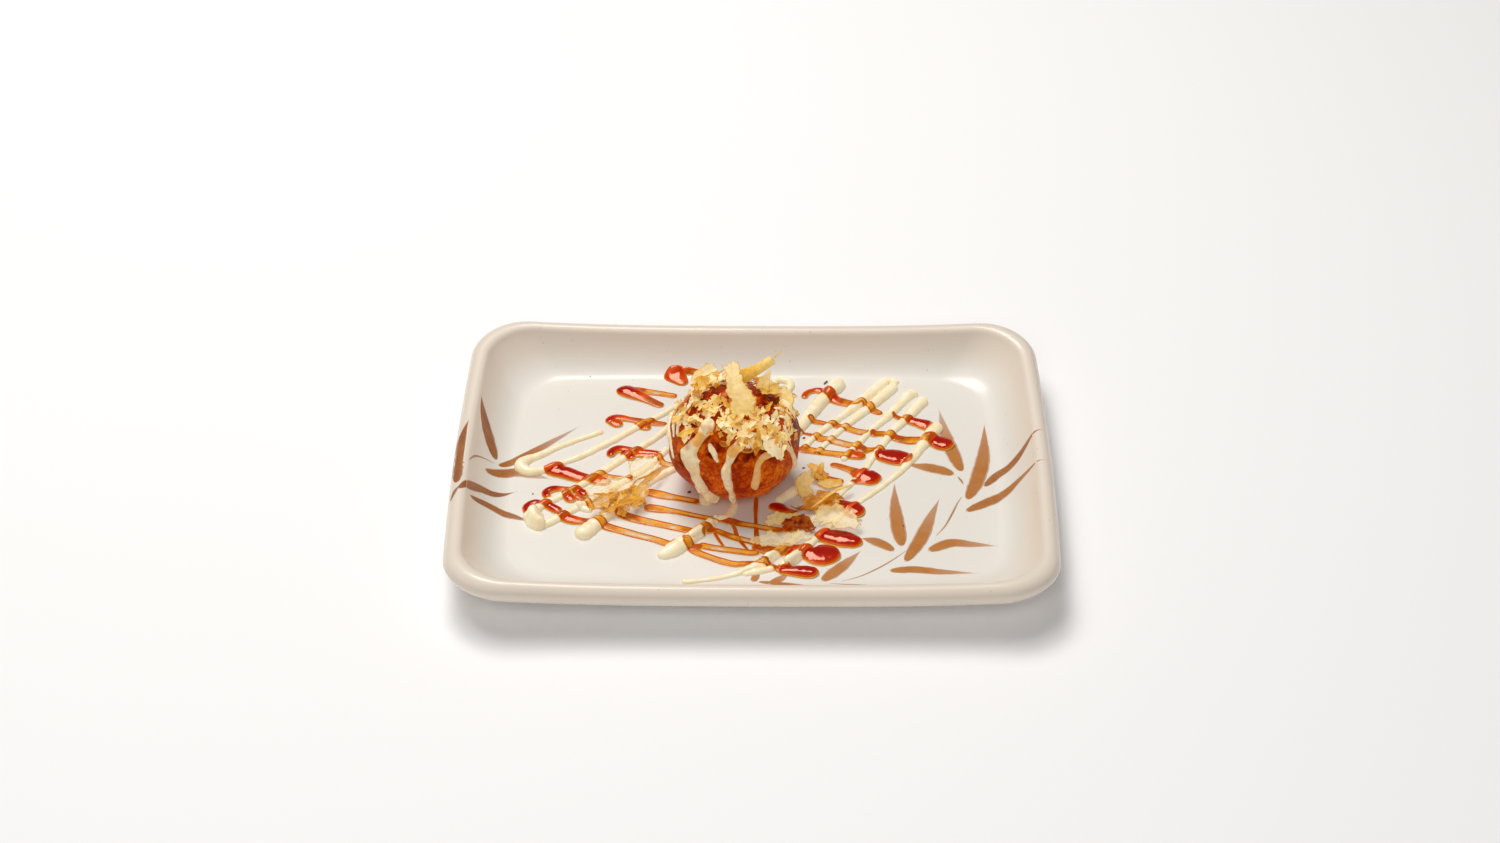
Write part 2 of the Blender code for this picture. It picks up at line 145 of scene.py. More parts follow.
class Finish:
    """A Principled material under construction."""

    def __init__(self, name, **constants):
        self.material = bpy.data.materials.new(name)
        self.material.use_nodes = True
        self.nodes = self.material.node_tree.nodes
        self.links = self.material.node_tree.links
        self.shader = self.nodes["Principled BSDF"]
        for socket, value in constants.items():
            self.shader.inputs[socket.replace("_", " ")].default_value = value

    def node(self, kind, settings=None, sockets=None, output=0):
        """Add any node: its settings first, then the values or links of its sockets."""
        made = self.nodes.new(kind)
        for key, value in (settings or {}).items():
            if key == "stops":
                self.set_stops(made.color_ramp, value)
            else:
                setattr(made, key, value)
        for key, value in (sockets or {}).items():
            self.feed(made.inputs[key], value)
        return Field(self, made.outputs[output])

    def feed(self, socket, value):
        if isinstance(value, Field):
            self.links.new(value.socket, socket)
        else:
            socket.default_value = value

    @staticmethod
    def set_stops(ramp, stops):
        while len(ramp.elements) < len(stops):
            ramp.elements.new(0.5)
        for element, (position, colour) in zip(ramp.elements, stops):
            element.position = position
            element.color = (*colour, 1.0)

    def place(self):
        return self.node("ShaderNodeTexCoord", output="Object")

    def attribute(self, name):
        return self.node("ShaderNodeAttribute", {"attribute_name": name}, output="Fac")

    def noise(self, size, detail=3.0, roughness=0.5, stretch=None):
        """Noise whose features are about size millimetres across."""
        place = self.place()
        if stretch:
            place = self.node("ShaderNodeMapping", None, {"Vector": place, "Scale": stretch})
        sockets = {"Vector": place, "Scale": 1 / (size * MM), "Detail": detail,
                   "Roughness": roughness}
        return self.node("ShaderNodeTexNoise", None, sockets)

    def height(self):
        """How far a point of the surface stands above the table, in millimetres."""
        return self.node("ShaderNodeSeparateXYZ", None, {0: self.place()}, "Z") / MM

    def cells(self, size):
        """Distance from the middle of the nearest of many cells about size millimetres across."""
        sockets = {"Vector": self.place(), "Scale": 1 / (size * MM)}
        return self.node("ShaderNodeTexVoronoi", {"feature": "F1"}, sockets, "Distance")

    def ramp(self, factor, *stops):
        return self.node("ShaderNodeValToRGB", {"stops": stops}, {"Fac": factor})

    def mix(self, factor, first, second):
        """Mix two colours; a plain colour is a tuple of three."""
        colours = [(*c, 1.0) if isinstance(c, tuple) else c for c in (first, second)]
        settings = {"data_type": "RGBA"}
        sockets = {0: factor, 6: colours[0], 7: colours[1]}
        return self.node("ShaderNodeMix", settings, sockets, 2)

    def bump(self, *layers):
        """Chain bumps given as (height field, depth in millimetres) into the normal."""
        normal = None
        for height, depth in layers:
            sockets = {"Height": height, "Distance": depth * MM, "Strength": 1.0}
            if normal:
                sockets["Normal"] = normal
            normal = self.node("ShaderNodeBump", None, sockets)
        self.feed(self.shader.inputs["Normal"], normal)

    def colour(self, value):
        self.feed(self.shader.inputs["Base Color"], value)

    def roughness(self, value):
        self.feed(self.shader.inputs["Roughness"], value)

    def painted_glow(self, value):
        """Colour of a faint painted glow that lifts the shade; on sauce and flakes it also stands in for
        light let through.
        """
        self.feed(self.shader.inputs["Emission Color"], value)


# --- finishes --------------------------------------------------------------------------------

CREAM_FLOOR = (0.80, 0.765, 0.70)
CREAM_WALL = (0.80, 0.70, 0.59)
CREAM_GRAIN = (0.42, 0.33, 0.25)
MAYONNAISE_STAIN = (0.82, 0.38, 0.05)
FRAYED_EDGE = (0.46, 0.15, 0.014)


def cream(finish):
    """The plate's cream: paler on the floor, warmer and darker up the wall, faintly mottled."""
    height = finish.height()
    tone = height.between(FLOOR_HEIGHT + 1.0, LIP_HEIGHT + 1.0) * 0.9
    clouds = finish.noise(26.0, detail=2.0).between(0.3, 0.7) * 0.12
    base = finish.mix((tone + clouds).clamped(), CREAM_FLOOR, CREAM_WALL)
    grains = 1 - finish.cells(3.2).between(0.05, 0.16)
    rare = finish.noise(8.0, detail=0.0).between(0.60, 0.66)
    return finish.mix(grains * rare * 0.35, base, CREAM_GRAIN)


def plate_finish():
    finish = Finish("cream_melamine", Coat_Weight=0.60, Coat_Roughness=0.17, IOR=1.5)
    finish.colour(cream(finish))
    finish.roughness(0.34 + 0.10 * finish.noise(14.0, detail=2.0))
    finish.bump((finish.noise(9.0, detail=1.0), 0.05), (finish.noise(0.8), 0.006))
    return finish.material


def print_finish():
    finish = Finish("leaf_print", Coat_Weight=0.12, Coat_Roughness=0.08, IOR=1.45)
    ink = finish.attribute("ink")
    warm = finish.attribute("warm")
    worn = finish.noise(0.55, detail=3.0)
    brown = finish.mix(warm, (0.28, 0.086, 0.024), (0.45, 0.160, 0.026))
    blotches = finish.noise(5.0, detail=2.0).between(0.3, 0.7)
    brown = finish.mix(blotches * 0.22, brown, (0.58, 0.27, 0.08))
    finish.colour(finish.mix((ink * (0.84 + 0.3 * worn)).clamped(), cream(finish), brown))
    finish.roughness(0.30)
    finish.bump((worn, 0.01))
    return finish.material


def crust_finish():
    finish = Finish("fried_crust", IOR=1.32, Specular_IOR_Level=0.45, Emission_Strength=0.10,
                    Specular_Tint=(1.0, 0.50, 0.28, 1.0))
    glaze = finish.attribute("glaze")
    height = finish.height()
    patches = finish.noise(9.0, detail=4.0, roughness=0.6)
    freckles = finish.noise(1.5, detail=4.0, roughness=0.65)
    grain = finish.noise(0.6, detail=2.0)
    pores = finish.cells(1.1)
    crust = finish.ramp(patches * 0.5 + freckles * 0.4 + grain * 0.1,
                        (0.41, (0.30, 0.018, 0.0005)), (0.47, (0.47, 0.045, 0.0006)),
                        (0.52, (0.64, 0.095, 0.001)), (0.59, (0.80, 0.20, 0.006)))
    crust = finish.mix((1 - pores.between(0.05, 0.35)) * 0.40, crust, (0.17, 0.014, 0.001))
    crust = finish.mix(height.between(24.0, 40.0) * 0.50, crust, (0.28, 0.022, 0.001))
    crust = finish.mix(height.between(17.0, 6.0) * 0.40, crust, (0.72, 0.22, 0.016))
    sauce = finish.ramp(finish.noise(3.0, detail=2.0), (0.38, (0.13, 0.005, 0.0005)),
                        (0.54, (0.30, 0.020, 0.001)), (0.68, (0.56, 0.10, 0.004)))
    wet = (glaze + 0.5 * (finish.noise(2.6, detail=3.0) - 0.5)).between(0.34, 0.52)
    skin = finish.mix(wet, crust, sauce)
    finish.colour(skin)
    # painted glow in the crust's own colours, lifting its shade
    finish.painted_glow(skin)
    finish.roughness(0.50 - 0.40 * wet + 0.14 * (freckles - 0.5))
    finish.bump((patches, 0.40), (freckles * (1 - 0.8 * wet), 0.32), (pores * (1 - wet), 0.10),
                (grain * (1 - wet), 0.10))
    return finish.material


def mayonnaise_finish():
    # The faint warm emission is a painted glow that lifts the mayonnaise's shade.
    finish = Finish("mayonnaise", IOR=1.46, Coat_Weight=0.80, Coat_Roughness=0.14,
                    Subsurface_Weight=0.30, Subsurface_Scale=0.002,
                    Subsurface_Radius=(1.0, 0.75, 0.35), Emission_Strength=0.10,
                    Emission_Color=(1.0, 0.78, 0.42, 1.0))
    stain = finish.attribute("stain")
    soft = finish.noise(4.0, detail=2.0)
    base = finish.ramp(soft, (0.40, (0.91, 0.76, 0.49)), (0.60, (0.93, 0.84, 0.62)))
    # tints towards sauce orange: real sauce stains, and on the ball's drips also a painted tan shade
    blot = (stain + 0.5 * (finish.noise(1.6, detail=3.0) - 0.5)).between(0.05, 0.9)
    finish.colour(finish.mix(blot, base, MAYONNAISE_STAIN))
    finish.roughness(0.30 + 0.16 * soft)
    finish.bump((finish.noise(1.8, detail=2.0), 0.10), (finish.noise(0.5), 0.02))
    return finish.material


def sauce_finish():
    """Clear amber where the sauce is thin and deep red where it is thick, with a faint painted glow; its
    depth attribute also carries painted light.
    """
    finish = Finish("brown_sauce", IOR=1.50, Specular_IOR_Level=0.95,
                    Specular_Tint=(1.0, 0.66, 0.46, 1.0), Coat_Weight=0.03, Coat_Roughness=0.03,
                    Emission_Strength=0.12)
    depth = finish.attribute("depth")
    swirl = finish.noise(3.0, detail=2.0)
    body = finish.ramp(depth + 0.14 * (swirl - 0.5),
                       (0.00, (0.92, 0.64, 0.24)), (0.10, (0.84, 0.43, 0.045)),
                       (0.22, (0.62, 0.19, 0.003)), (0.36, (0.35, 0.056, 0.0006)),
                       (0.56, (0.66, 0.075, 0.0006)), (0.78, (0.42, 0.009, 0.0002)),
                       (1.00, (0.24, 0.001, 0.0001)))
    finish.feed(finish.shader.inputs["Alpha"], 0.10 + 0.90 * depth.between(0.01, 0.17))
    finish.colour(body)
    # painted glow in the sauce's own colours, lifting its shade
    finish.painted_glow(body)
    finish.roughness(0.20 + 0.06 * swirl - 0.15 * depth.between(0.45, 0.80))
    finish.bump((finish.noise(4.0, detail=1.0), 0.02))
    return finish.material


def flake_finish():
    """A thin dry shaving, cream to golden by its tone, red-brown where sauce soaks in."""
    finish = Finish("fish_flake", IOR=1.42, Specular_Tint=(1.0, 0.84, 0.60, 1.0),
                    Emission_Strength=0.18, Subsurface_Weight=0.30,
                    Subsurface_Scale=0.003, Subsurface_Radius=(1.0, 0.75, 0.35),
                    Coat_Roughness=0.2)
    tone, soak = finish.attribute("tone"), finish.attribute("soak")
    sheer, rim = finish.attribute("sheer"), finish.attribute("rim")
    fibres = finish.noise(0.7, detail=3.0, stretch=(1.0, 1.0, 0.4))
    cloud = finish.noise(1.6, detail=3.0)
    body = finish.ramp(tone + (0.60 - 0.5 * sheer) * (cloud - 0.5)
                       + 0.24 * (1 - sheer) * (fibres - 0.5),
                       (0.00, (0.94, 0.82, 0.51)), (0.26, (0.89, 0.66, 0.23)),
                       (0.56, (0.79, 0.43, 0.055)), (0.88, (0.54, 0.19, 0.010)))
    frayed = rim + (finish.noise(1.7, detail=2.0) - 0.5)
    body = finish.mix(frayed.between(0.52, 0.66) * 0.6, body, FRAYED_EDGE)
    amber = finish.ramp(cloud, (0.38, (0.32, 0.050, 0.001)), (0.62, (0.74, 0.28, 0.015)))
    brown = finish.ramp(cloud, (0.40, (0.14, 0.004, 0.0004)), (0.62, (0.44, 0.075, 0.002)))
    brown = finish.mix(soak.between(0.78, 1.0), amber, brown)
    wet = (soak + 0.5 * (cloud - 0.5)).between(0.35, 0.75)
    body = finish.mix(wet, body, brown)
    finish.colour(body)
    # painted glow in the flake's own colours, lifting its shade; it stands in for light let through
    finish.painted_glow(body)
    finish.feed(finish.shader.inputs["Alpha"], (1 - (sheer * (0.80 + 0.5 * cloud)).clamped())
                * (1 - frayed.between(0.72, 0.78)))
    finish.roughness(0.50 - 0.22 * wet + 0.1 * fibres)
    finish.feed(finish.shader.inputs["Coat Weight"], 0.04 + 0.3 * wet)
    finish.bump((fibres, 0.04), (cloud, 0.06))
    return finish.material


def speck_finish():
    finish = Finish("dark_speck", Coat_Weight=0.2)
    finish.colour(finish.ramp(finish.noise(0.4), (0.3, (0.05, 0.02, 0.01)),
                              (0.7, (0.22, 0.10, 0.04))))
    finish.roughness(0.5 + 0.2 * finish.noise(0.3))
    return finish.material


# --- mesh helpers ----------------------------------------------------------------------------

def make_piece(name, vertices, faces, material, values=None):
    """A named object from points in millimetres; values are attributes, one number a point."""
    mesh = bpy.data.meshes.new(name)
    mesh.from_pydata([Vector(v) * MM for v in vertices], [], faces)
    for key, numbers in (values or {}).items():
        layer = mesh.attributes.new(key, "FLOAT", "POINT")
        layer.data.foreach_set("value", numbers)
    tidy = bmesh.new()
    tidy.from_mesh(mesh)
    bmesh.ops.recalc_face_normals(tidy, faces=tidy.faces)
    tidy.to_mesh(mesh)
    tidy.free()
    mesh.shade_smooth()
    if material:
        mesh.materials.append(material)
    piece = bpy.data.objects.new(name, mesh)
    bpy.context.scene.collection.objects.link(piece)
    return piece


def keep(piece, slot, *nodes):
    """Fix a piece to the plate's body and hide the frame nodes it stands for; slot is not used."""
    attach(piece, BODY)
    if nodes:
        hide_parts(*nodes)
    return piece


def grid_faces(rows, columns, start=0, closed=False):
    """Quads of a grid of points, row by row; closed joins the last column to the first."""
    faces = []
    for i in range(rows - 1):
        for j in range(columns if closed else columns - 1):
            following = (j + 1) % columns
            low, high = start + i * columns, start + (i + 1) * columns
            faces.append((low + j, low + following, high + following, high + j))
    return faces


def shell(top, bottom, rows, columns):
    """Faces of a closed sheet: a top grid, a bottom grid after it, and a rim joining them."""
    count = rows * columns
    faces = grid_faces(rows, columns)
    faces += [face[::-1] for face in grid_faces(rows, columns, start=count)]
    rim = list(range(columns))
    rim += [i * columns + columns - 1 for i in range(1, rows)]
    rim += [(rows - 1) * columns + j for j in range(columns - 2, -1, -1)]
    rim += [i * columns for i in range(rows - 2, 0, -1)]
    for k, point in enumerate(rim):
        following = rim[(k + 1) % len(rim)]
        faces.append((point, point + count, following + count, following))
    return list(top) + list(bottom), faces


def merge(parts):
    """Several (points, faces, values) as one."""
    vertices, faces, values = [], [], []
    for points, quads, numbers in parts:
        start = len(vertices)
        vertices.extend(points)
        faces.extend(tuple(v + start for v in quad) for quad in quads)
        values.extend(numbers)
    return vertices, faces, values


def spline(points, steps=12):
    """Catmull-Rom through rows of numbers, as closely spaced rows."""
    rows = [Vector(p) for p in points]
    rows = [rows[0] * 2 - rows[1]] + rows + [rows[-1] * 2 - rows[-2]]
    dense = []
    for a, b, c, d in zip(rows, rows[1:], rows[2:], rows[3:]):
        for k in range(steps):
            t = k / steps
            dense.append(0.5 * (2 * b + (c - a) * t + (2 * a - 5 * b + 4 * c - d) * t ** 2
                                + (3 * b - a - 3 * c + d) * t ** 3))
    dense.append(rows[-2])
    return dense


def resample(dense, places, size):
    """Rows at given distances along the first `size` numbers of dense rows."""
    lengths = [0.0]
    for a, b in zip(dense, dense[1:]):
        lengths.append(lengths[-1] + (Vector(b[:size]) - Vector(a[:size])).length)
    result, k = [], 0
    for place in places:
        place = min(max(place, 0.0), lengths[-1])
        while k < len(dense) - 2 and lengths[k + 1] < place:
            k += 1
        span = max(lengths[k + 1] - lengths[k], 1e-9)
        result.append(dense[k].lerp(dense[k + 1], (place - lengths[k]) / span))
    return result


def route_length(dense, size):
    return sum((Vector(b[:size]) - Vector(a[:size])).length for a, b in zip(dense, dense[1:]))


def rounded_places(length, first_radius, last_radius, spacing, cap_steps=7):
    """Distances along a strand, closer at its round ends, and the half-round taper at each."""
    places, tapers = [], []
    for k in range(cap_steps):
        turn = math.pi / 2 * k / cap_steps
        places.append(first_radius * (1 - math.cos(turn)))
        tapers.append(max(math.sin(turn), 0.06))
    middle = max(length - first_radius - last_radius, 0.1)
    count = max(int(middle / spacing), 1)
    for k in range(count + 1):
        places.append(first_radius + middle * k / count)
        tapers.append(1.0)
    for k in range(cap_steps - 1, -1, -1):
        turn = math.pi / 2 * k / cap_steps
        places.append(length - last_radius * (1 - math.cos(turn)))
        tapers.append(max(math.sin(turn), 0.06))
    return places, tapers


def smooth_step(low, high, value):
    t = min(max((value - low) / (high - low), 0.0), 1.0)
    return t * t * (3 - 2 * t)


def wander(position, size, seed):
    """Smooth noise from about -1 to 1 whose features are about size across."""
    return noise.noise(Vector(position) / size + Vector((seed, 1.7 * seed, 2.3 * seed))) * 1.8


SKY = 90.0                          # a height above everything, to look down from


class Ground:
    """The highest surface under a point, over all the meshes laid down so far."""

    def __init__(self):
        self.trees = []

    def add(self, *pieces):
        for piece in pieces:
            mesh = piece.data
            vertices = [v.co / MM for v in mesh.vertices]
            faces = [tuple(p.vertices) for p in mesh.polygons]
            xs, ys = [v.x for v in vertices], [v.y for v in vertices]
            tree = BVHTree.FromPolygons(vertices, faces)
            self.trees.append((min(xs), max(xs), min(ys), max(ys), tree))

    def height(self, x, y):
        best = 0.0
        for low_x, high_x, low_y, high_y, tree in self.trees:
            if low_x <= x <= high_x and low_y <= y <= high_y:
                hit = tree.ray_cast(Vector((x, y, SKY)), Vector((0, 0, -1)))[0]
                if hit:
                    best = max(best, hit.z)
        return best

    def lift(self, x, y):
        """How far that surface stands above the first mesh laid down, the plate."""
        hit = self.trees[0][-1].ray_cast(Vector((x, y, SKY)), Vector((0, 0, -1)))[0]
        return self.height(x, y) - hit.z if hit else 0.0


# --- plate -----------------------------------------------------------------------------------

def lip_point(angle):
    """Inset and height on the rounded edge; 0 faces outwards and 90 degrees is its crest."""
    return LIP_RADIUS * (1 - math.cos(angle)), LIP_HEIGHT + LIP_RADIUS * math.sin(angle)


def wall_height(inset):
    start, top = lip_point(LIP_INNER_ANGLE)
    run = FLOOR_INSET - start
    t = min(max((inset - start) / run, 0.0), 1.0)
    slope = math.tan(LIP_INNER_ANGLE - math.pi / 2) * WALL_STEEPNESS
    return ((2 * t ** 3 - 3 * t ** 2 + 1) * top - (t ** 3 - 2 * t ** 2 + t) * run * slope
            + (3 * t ** 2 - 2 * t ** 3) * FLOOR_HEIGHT)


def plate_profile():
    """Inset, height and share of the corner lift, from the floor over the lip to the foot."""
    floor_steps, wall_steps, lip_steps, under_steps = 6, 26, 26, 14
    lip_start = lip_point(LIP_INNER_ANGLE)[0]
    floor_run = 18.0
    profile = []
    for k in range(floor_steps):
        profile.append((FLOOR_INSET + floor_run * (1 - k / floor_steps), FLOOR_HEIGHT, 0.0))
    for k in range(wall_steps):
        t = 1 - k / wall_steps
        inset = lip_start + (FLOOR_INSET - lip_start) * t
        profile.append((inset, wall_height(inset), 1 - t))
    for k in range(lip_steps + 1):
        angle = LIP_INNER_ANGLE + (LIP_UNDER_ANGLE - LIP_INNER_ANGLE) * k / lip_steps
        profile.append((*lip_point(angle), 1.0))
    under_start, under_top = lip_point(LIP_UNDER_ANGLE)
    under_floor = FLOOR_HEIGHT - FLOOR_THICKNESS
    for k in range(1, under_steps + 1):
        t = k / under_steps
        ease = t * (1.7 - 0.7 * t)
        profile.append((under_start + (FOOT_INSET - under_start) * t,
                        under_top + (under_floor - under_top) * ease, 1 - t))
    foot_round = 0.4
    outer, inner = FOOT_INSET + FOOT_DRAFT, FOOT_INSET + FOOT_DRAFT + FOOT_WIDTH
    profile += [(outer, foot_round, 0.0), (outer + foot_round, 0.0, 0.0),
                (inner - foot_round, 0.0, 0.0), (inner, foot_round, 0.0),
                (inner + FOOT_DRAFT, under_floor, 0.0)]
    return profile


def plate_ring(inset, height, lift_share):
    """A rounded rectangle at one inset, with bowed short sides and lifted corners."""
    corner_steps, long_steps, short_steps = 22, 44, 32
    radius = max(CORNER_RADIUS - CORNER_SHRINK * inset, FLOOR_CORNER_RADIUS)
    middle_x = HALF_LENGTH - inset - radius
    middle_y = HALF_WIDTH - inset - radius
    flat = []
    for turn, (sign_x, sign_y) in enumerate(((1, 1), (-1, 1), (-1, -1), (1, -1))):
        for k in range(corner_steps):
            angle = math.pi / 2 * (turn + k / corner_steps)
            flat.append((sign_x * middle_x + radius * math.cos(angle),
                         sign_y * middle_y + radius * math.sin(angle)))
        on_long_side = turn % 2 == 0
        steps = long_steps if on_long_side else short_steps
        for k in range(steps):
            along = 1 - 2 * k / steps
            if on_long_side:
                flat.append((sign_x * middle_x * along, sign_y * (HALF_WIDTH - inset)))
            else:
                flat.append((sign_x * (HALF_LENGTH - inset), sign_y * middle_y * along))
    ring = []
    for x, y in flat:
        share_x = abs(x) / (HALF_LENGTH - inset)
        share_y = abs(y) / (HALF_WIDTH - inset)
        bow = math.copysign(SIDE_BOW * (1 - share_y ** 2) * share_x ** 4, x)
        lift = CORNER_LIFT * lift_share * (share_x * share_y) ** CORNER_LIFT_POWER
        ring.append((x + bow, y, height + lift))
    return ring


def make_plate(material):
    rings = [plate_ring(*station) for station in plate_profile()]
    columns = len(rings[0])
    vertices = [point for ring in rings for point in ring]
    faces = grid_faces(len(rings), columns, closed=True)
    faces.append(tuple(range(columns))[::-1])
    faces.append(tuple(range(len(vertices) - columns, len(vertices))))
    piece = make_piece("plate_body", vertices, faces, material)
    return keep(piece, "plate", "plate")


# --- leaf print ------------------------------------------------------------------------------

# Bamboo leaves: points from tip to base, widest width, where it is widest (0 tip, 1 base),
# warm tone from 0 (dark brown) to 1 (ochre), and how far the ink fades towards the tip
LEAVES = [
    ([(67.4, 40.0), (69.3, 24), (71.6, 12.5), (73.9, 3.4)], 5.4, 0.66, 1.0, 0.45),
    ([(83.6, 31.4), (82.2, 13), (79.2, -1), (75.1, -12.1)], 5.8, 0.66, 0.9, 0.15),
    ([(54.0, 7.4), (60.5, 6.0), (66.4, 4.2), (71.2, 1.7)], 5.2, 0.55, 1.0, 0.1),
    ([(103.4, 12.8), (99, 11.2), (92, 4.7), (86.4, 1.2), (81.4, -4.9)], 3.8, 0.62, 0.35, 0.0),
    ([(103.2, -4.6), (97.4, -4.9), (92.6, -6.4), (86.6, -10.6), (74.2, -18.4)], 4.4, 0.66, 0.7, 0.1),
    ([(49.9, -2.2), (49.7, -14), (50.2, -25), (51.3, -37.2)], 5.4, 0.70, 1.0, 0.2),
    ([(65.6, -10.9), (61.6, -22.4), (57.6, -34), (52.2, -45.2)], 5.2, 0.62, 1.0, 0.25),
    ([(84.6, -36.9), (74.8, -35.9), (68, -35.4), (60.2, -39.5)], 4.6, 0.70, 1.0, 0.35),
    ([(77.4, -51.0), (65, -50.4), (55, -49.2), (46.6, -49.9)], 3.8, 0.72, 1.0, 0.35),
    ([(37.2, -33.0), (41, -34.2), (45, -36.4), (48.6, -39.7)], 4.4, 0.45, 1.0, 0.1),
    ([(37.4, -39.4), (33.4, -44.4), (28.6, -50), (23.6, -55.4)], 4.8, 0.62, 1.0, 0.25),
    ([(27.0, -59.4), (19, -58.6), (10, -57.0), (2.0, -55.8)], 2.4, 0.55, 1.0, 0.2),
    ([(36.2, -63.0), (26, -62.2), (16, -60.6), (8.0, -59.0)], 2.8, 0.5, 0.9, 0.3),
    ([(12.6, -51.4), (10.6, -53.4), (8.4, -55.2), (5.6, -57.0)], 3.2, 0.5, 0.9, 0.3),
    ([(2.6, -49.6), (1.8, -52), (1.0, -54), (0.2, -56)], 2.8, 0.6, 0.9, 0.2),
    ([(-98.2, 33.2), (-96.4, 24), (-94.0, 15), (-91.2, 6.0)], 4.2, 0.62, 0.1, 0.0),
    ([(-62.0, 29.0), (-70, 21.4), (-79, 13.0), (-90.2, 3.6)], 3.8, 0.68, 0.45, 0.5),
    ([(-100.9, 17.4), (-102.4, 8), (-103.2, -4), (-102.2, -18.6)], 5.0, 0.60, 0.1, 0.0),
    ([(-70.6, -2.0), (-77.6, 0.2), (-84.6, 1.8), (-94.2, -2.8)], 5.0, 0.55, 0.5, 0.55),
    ([(-82.8, -8.6), (-90, -12.2), (-95.6, -14.6), (-101.6, -22.0)], 3.6, 0.55, 0.15, 0.05),
    ([(-76.4, -25.2), (-84, -22.0), (-91.2, -19.8), (-97.6, -22.4)], 3.6, 0.52, 0.2, 0.05),
]

# Stems: points, width and warm tone
STEMS = [
    ([(72.4, 0.6), (73.3, -1.2), (74.1, -3.6)], 0.8, 0.6),
    ([(73.2, -10.6), (71.4, -14.4), (69.4, -19.8), (66.6, -26.4), (63.4, -31.4)], 0.7, 0.4),
    ([(52.6, -39.6), (47.8, -44.4), (42.6, -48.8), (36.6, -52.8), (30.4, -55.4)], 0.6, 0.5),
    ([(38.6, -57.2), (32, -57.0), (26.2, -56.4)], 0.5, 0.4),
    ([(-91.6, 4.0), (-94.6, 3.0), (-97.4, 0.2), (-99.2, -5.4)], 0.6, 0.1),
    ([(-101.4, -20.8), (-102.6, -23.4), (-103.6, -27.4)], 1.4, 0.1),
    ([(-19.6, -62.6), (-14.6, -60.9), (-9.0, -60.0), (-2.6, -59.2)], 0.8, 0.5),
]

EDGE_MARGIN = 0.5                   # how far inside the plate's edge the print stops
FILM_LIFT, FILM_SINK = 0.05, 0.12   # how far the film reaches above and below the glaze
SOFT_EDGE = 0.22                    # width over which its ink fades at the sides
STEM_INK = 0.9


def leaf_width(t, widest):
    """Share of the leaf's width at t, from 0 at the tip to 1 at the base."""
    if t < widest:
        return math.sin(math.pi / 2 * t / widest) ** 1.25
    return max(1 - ((t - widest) / (1 - widest)) ** 2.4, 0.0) ** 0.5


def make_film(points, width_at, ink_at, ground, columns=9, spacing=0.8):
    """A thin closed film lying on the plate, with softer ink at its edges."""
    dense = spline([(x, y, 0.0) for x, y in points])
    length = route_length(dense, 2)
    count = max(int(length / spacing), 8)
    stations = resample(dense, [length * k / count for k in range(count + 1)], 2)
    top, bottom, ink = [], [], []
    for i, centre in enumerate(stations):
        ahead = stations[min(i + 1, count)] - stations[max(i - 1, 0)]
        across = Vector((-ahead.y, ahead.x)).normalized()
        t = i / count
        half_width = max(width_at(t) / 2, 0.04)
        for j in range(columns):
            v = 2 * j / (columns - 1) - 1
            wobble = 1 + 0.05 * wander((centre.x, centre.y, math.copysign(9, v)), 2.2, 4)
            x = centre.x + across.x * v * half_width * wobble
            y = centre.y + across.y * v * half_width * wobble
            side = HALF_LENGTH + SIDE_BOW * (1 - (y / HALF_WIDTH) ** 2) - EDGE_MARGIN
            x = min(max(x, -side), side)
            z = ground.height(x, y)
            top.append((x, y, z + FILM_LIFT * (1 - v ** 4)))
            bottom.append((x, y, z - FILM_SINK))
            edge = min((1 - abs(v)) * half_width / SOFT_EDGE, 1.0)
            ink.append(ink_at(t) * (0.25 + 0.75 * edge))
    vertices, faces = shell(top, bottom, count + 1, columns)
    return vertices, faces, ink * 2


def make_print(ground, material):
    films, warms = [], []
    for points, width, widest, warm, fade in LEAVES:
        def width_at(t, width=width, widest=widest):
            return width * leaf_width(t, widest)

        def ink_at(t, fade=fade):
            return 1 - fade * (1 - min(t / 0.6, 1.0))
        films.append(make_film(points, width_at, ink_at, ground))
        warms += [warm] * len(films[-1][0])
    for points, width, warm in STEMS:
        def width_at(t, width=width):
            return width * (0.45 + 0.9 * math.sin(math.pi * t) * (1 - 0.3 * t))
        films.append(make_film(points, width_at, lambda t: STEM_INK, ground, columns=5))
        warms += [warm] * len(films[-1][0])
    vertices, faces, inks = merge(films)
    piece = make_piece("leaf_print", vertices, faces, material, {"ink": inks, "warm": warms})
    return keep(piece, "plate")


# --- ball ------------------------------------------------------------------------------------

def signed_power(value, power):
    return math.copysign(abs(value) ** power, value)


def direction(azimuth, polar):
    """Unit vector at an azimuth and an angle from the top, in radians."""
    return Vector((math.sin(polar) * math.cos(azimuth), math.sin(polar) * math.sin(azimuth),
                   math.cos(polar)))


def outward_at(away):
    """The ball's outward direction at an offset from its centre."""
    return Vector((away.x / BALL_RADIUS ** 2, away.y / BALL_RADIUS ** 2,
                   away.z / BALL_HALF_HEIGHT ** 2)).normalized()


def ball_point(azimuth, polar):
    """A point on the smooth ball and the outward direction there, angles in radians."""
    power = 2 / BALL_SQUARENESS
    around = signed_power(math.sin(polar), power)
    ripple = 1 + BALL_RIPPLE * math.sin(3 * azimuth + 1.1) * math.sin(2 * polar + 0.6)
    spot = Vector((BALL_RADIUS * around * math.cos(azimuth) * ripple,
                   BALL_RADIUS * around * math.sin(azimuth) * ripple,
                   BALL_HALF_HEIGHT * signed_power(math.cos(polar), power) * ripple))
    return BALL_CENTRE + spot, outward_at(spot)


DENT_DEPTH, BLISTER_RISE, GRAIN_RISE = 0.30, 0.16, 0.05
CRUST_SINK = 0.42                   # the skin lies this far under the smooth ball


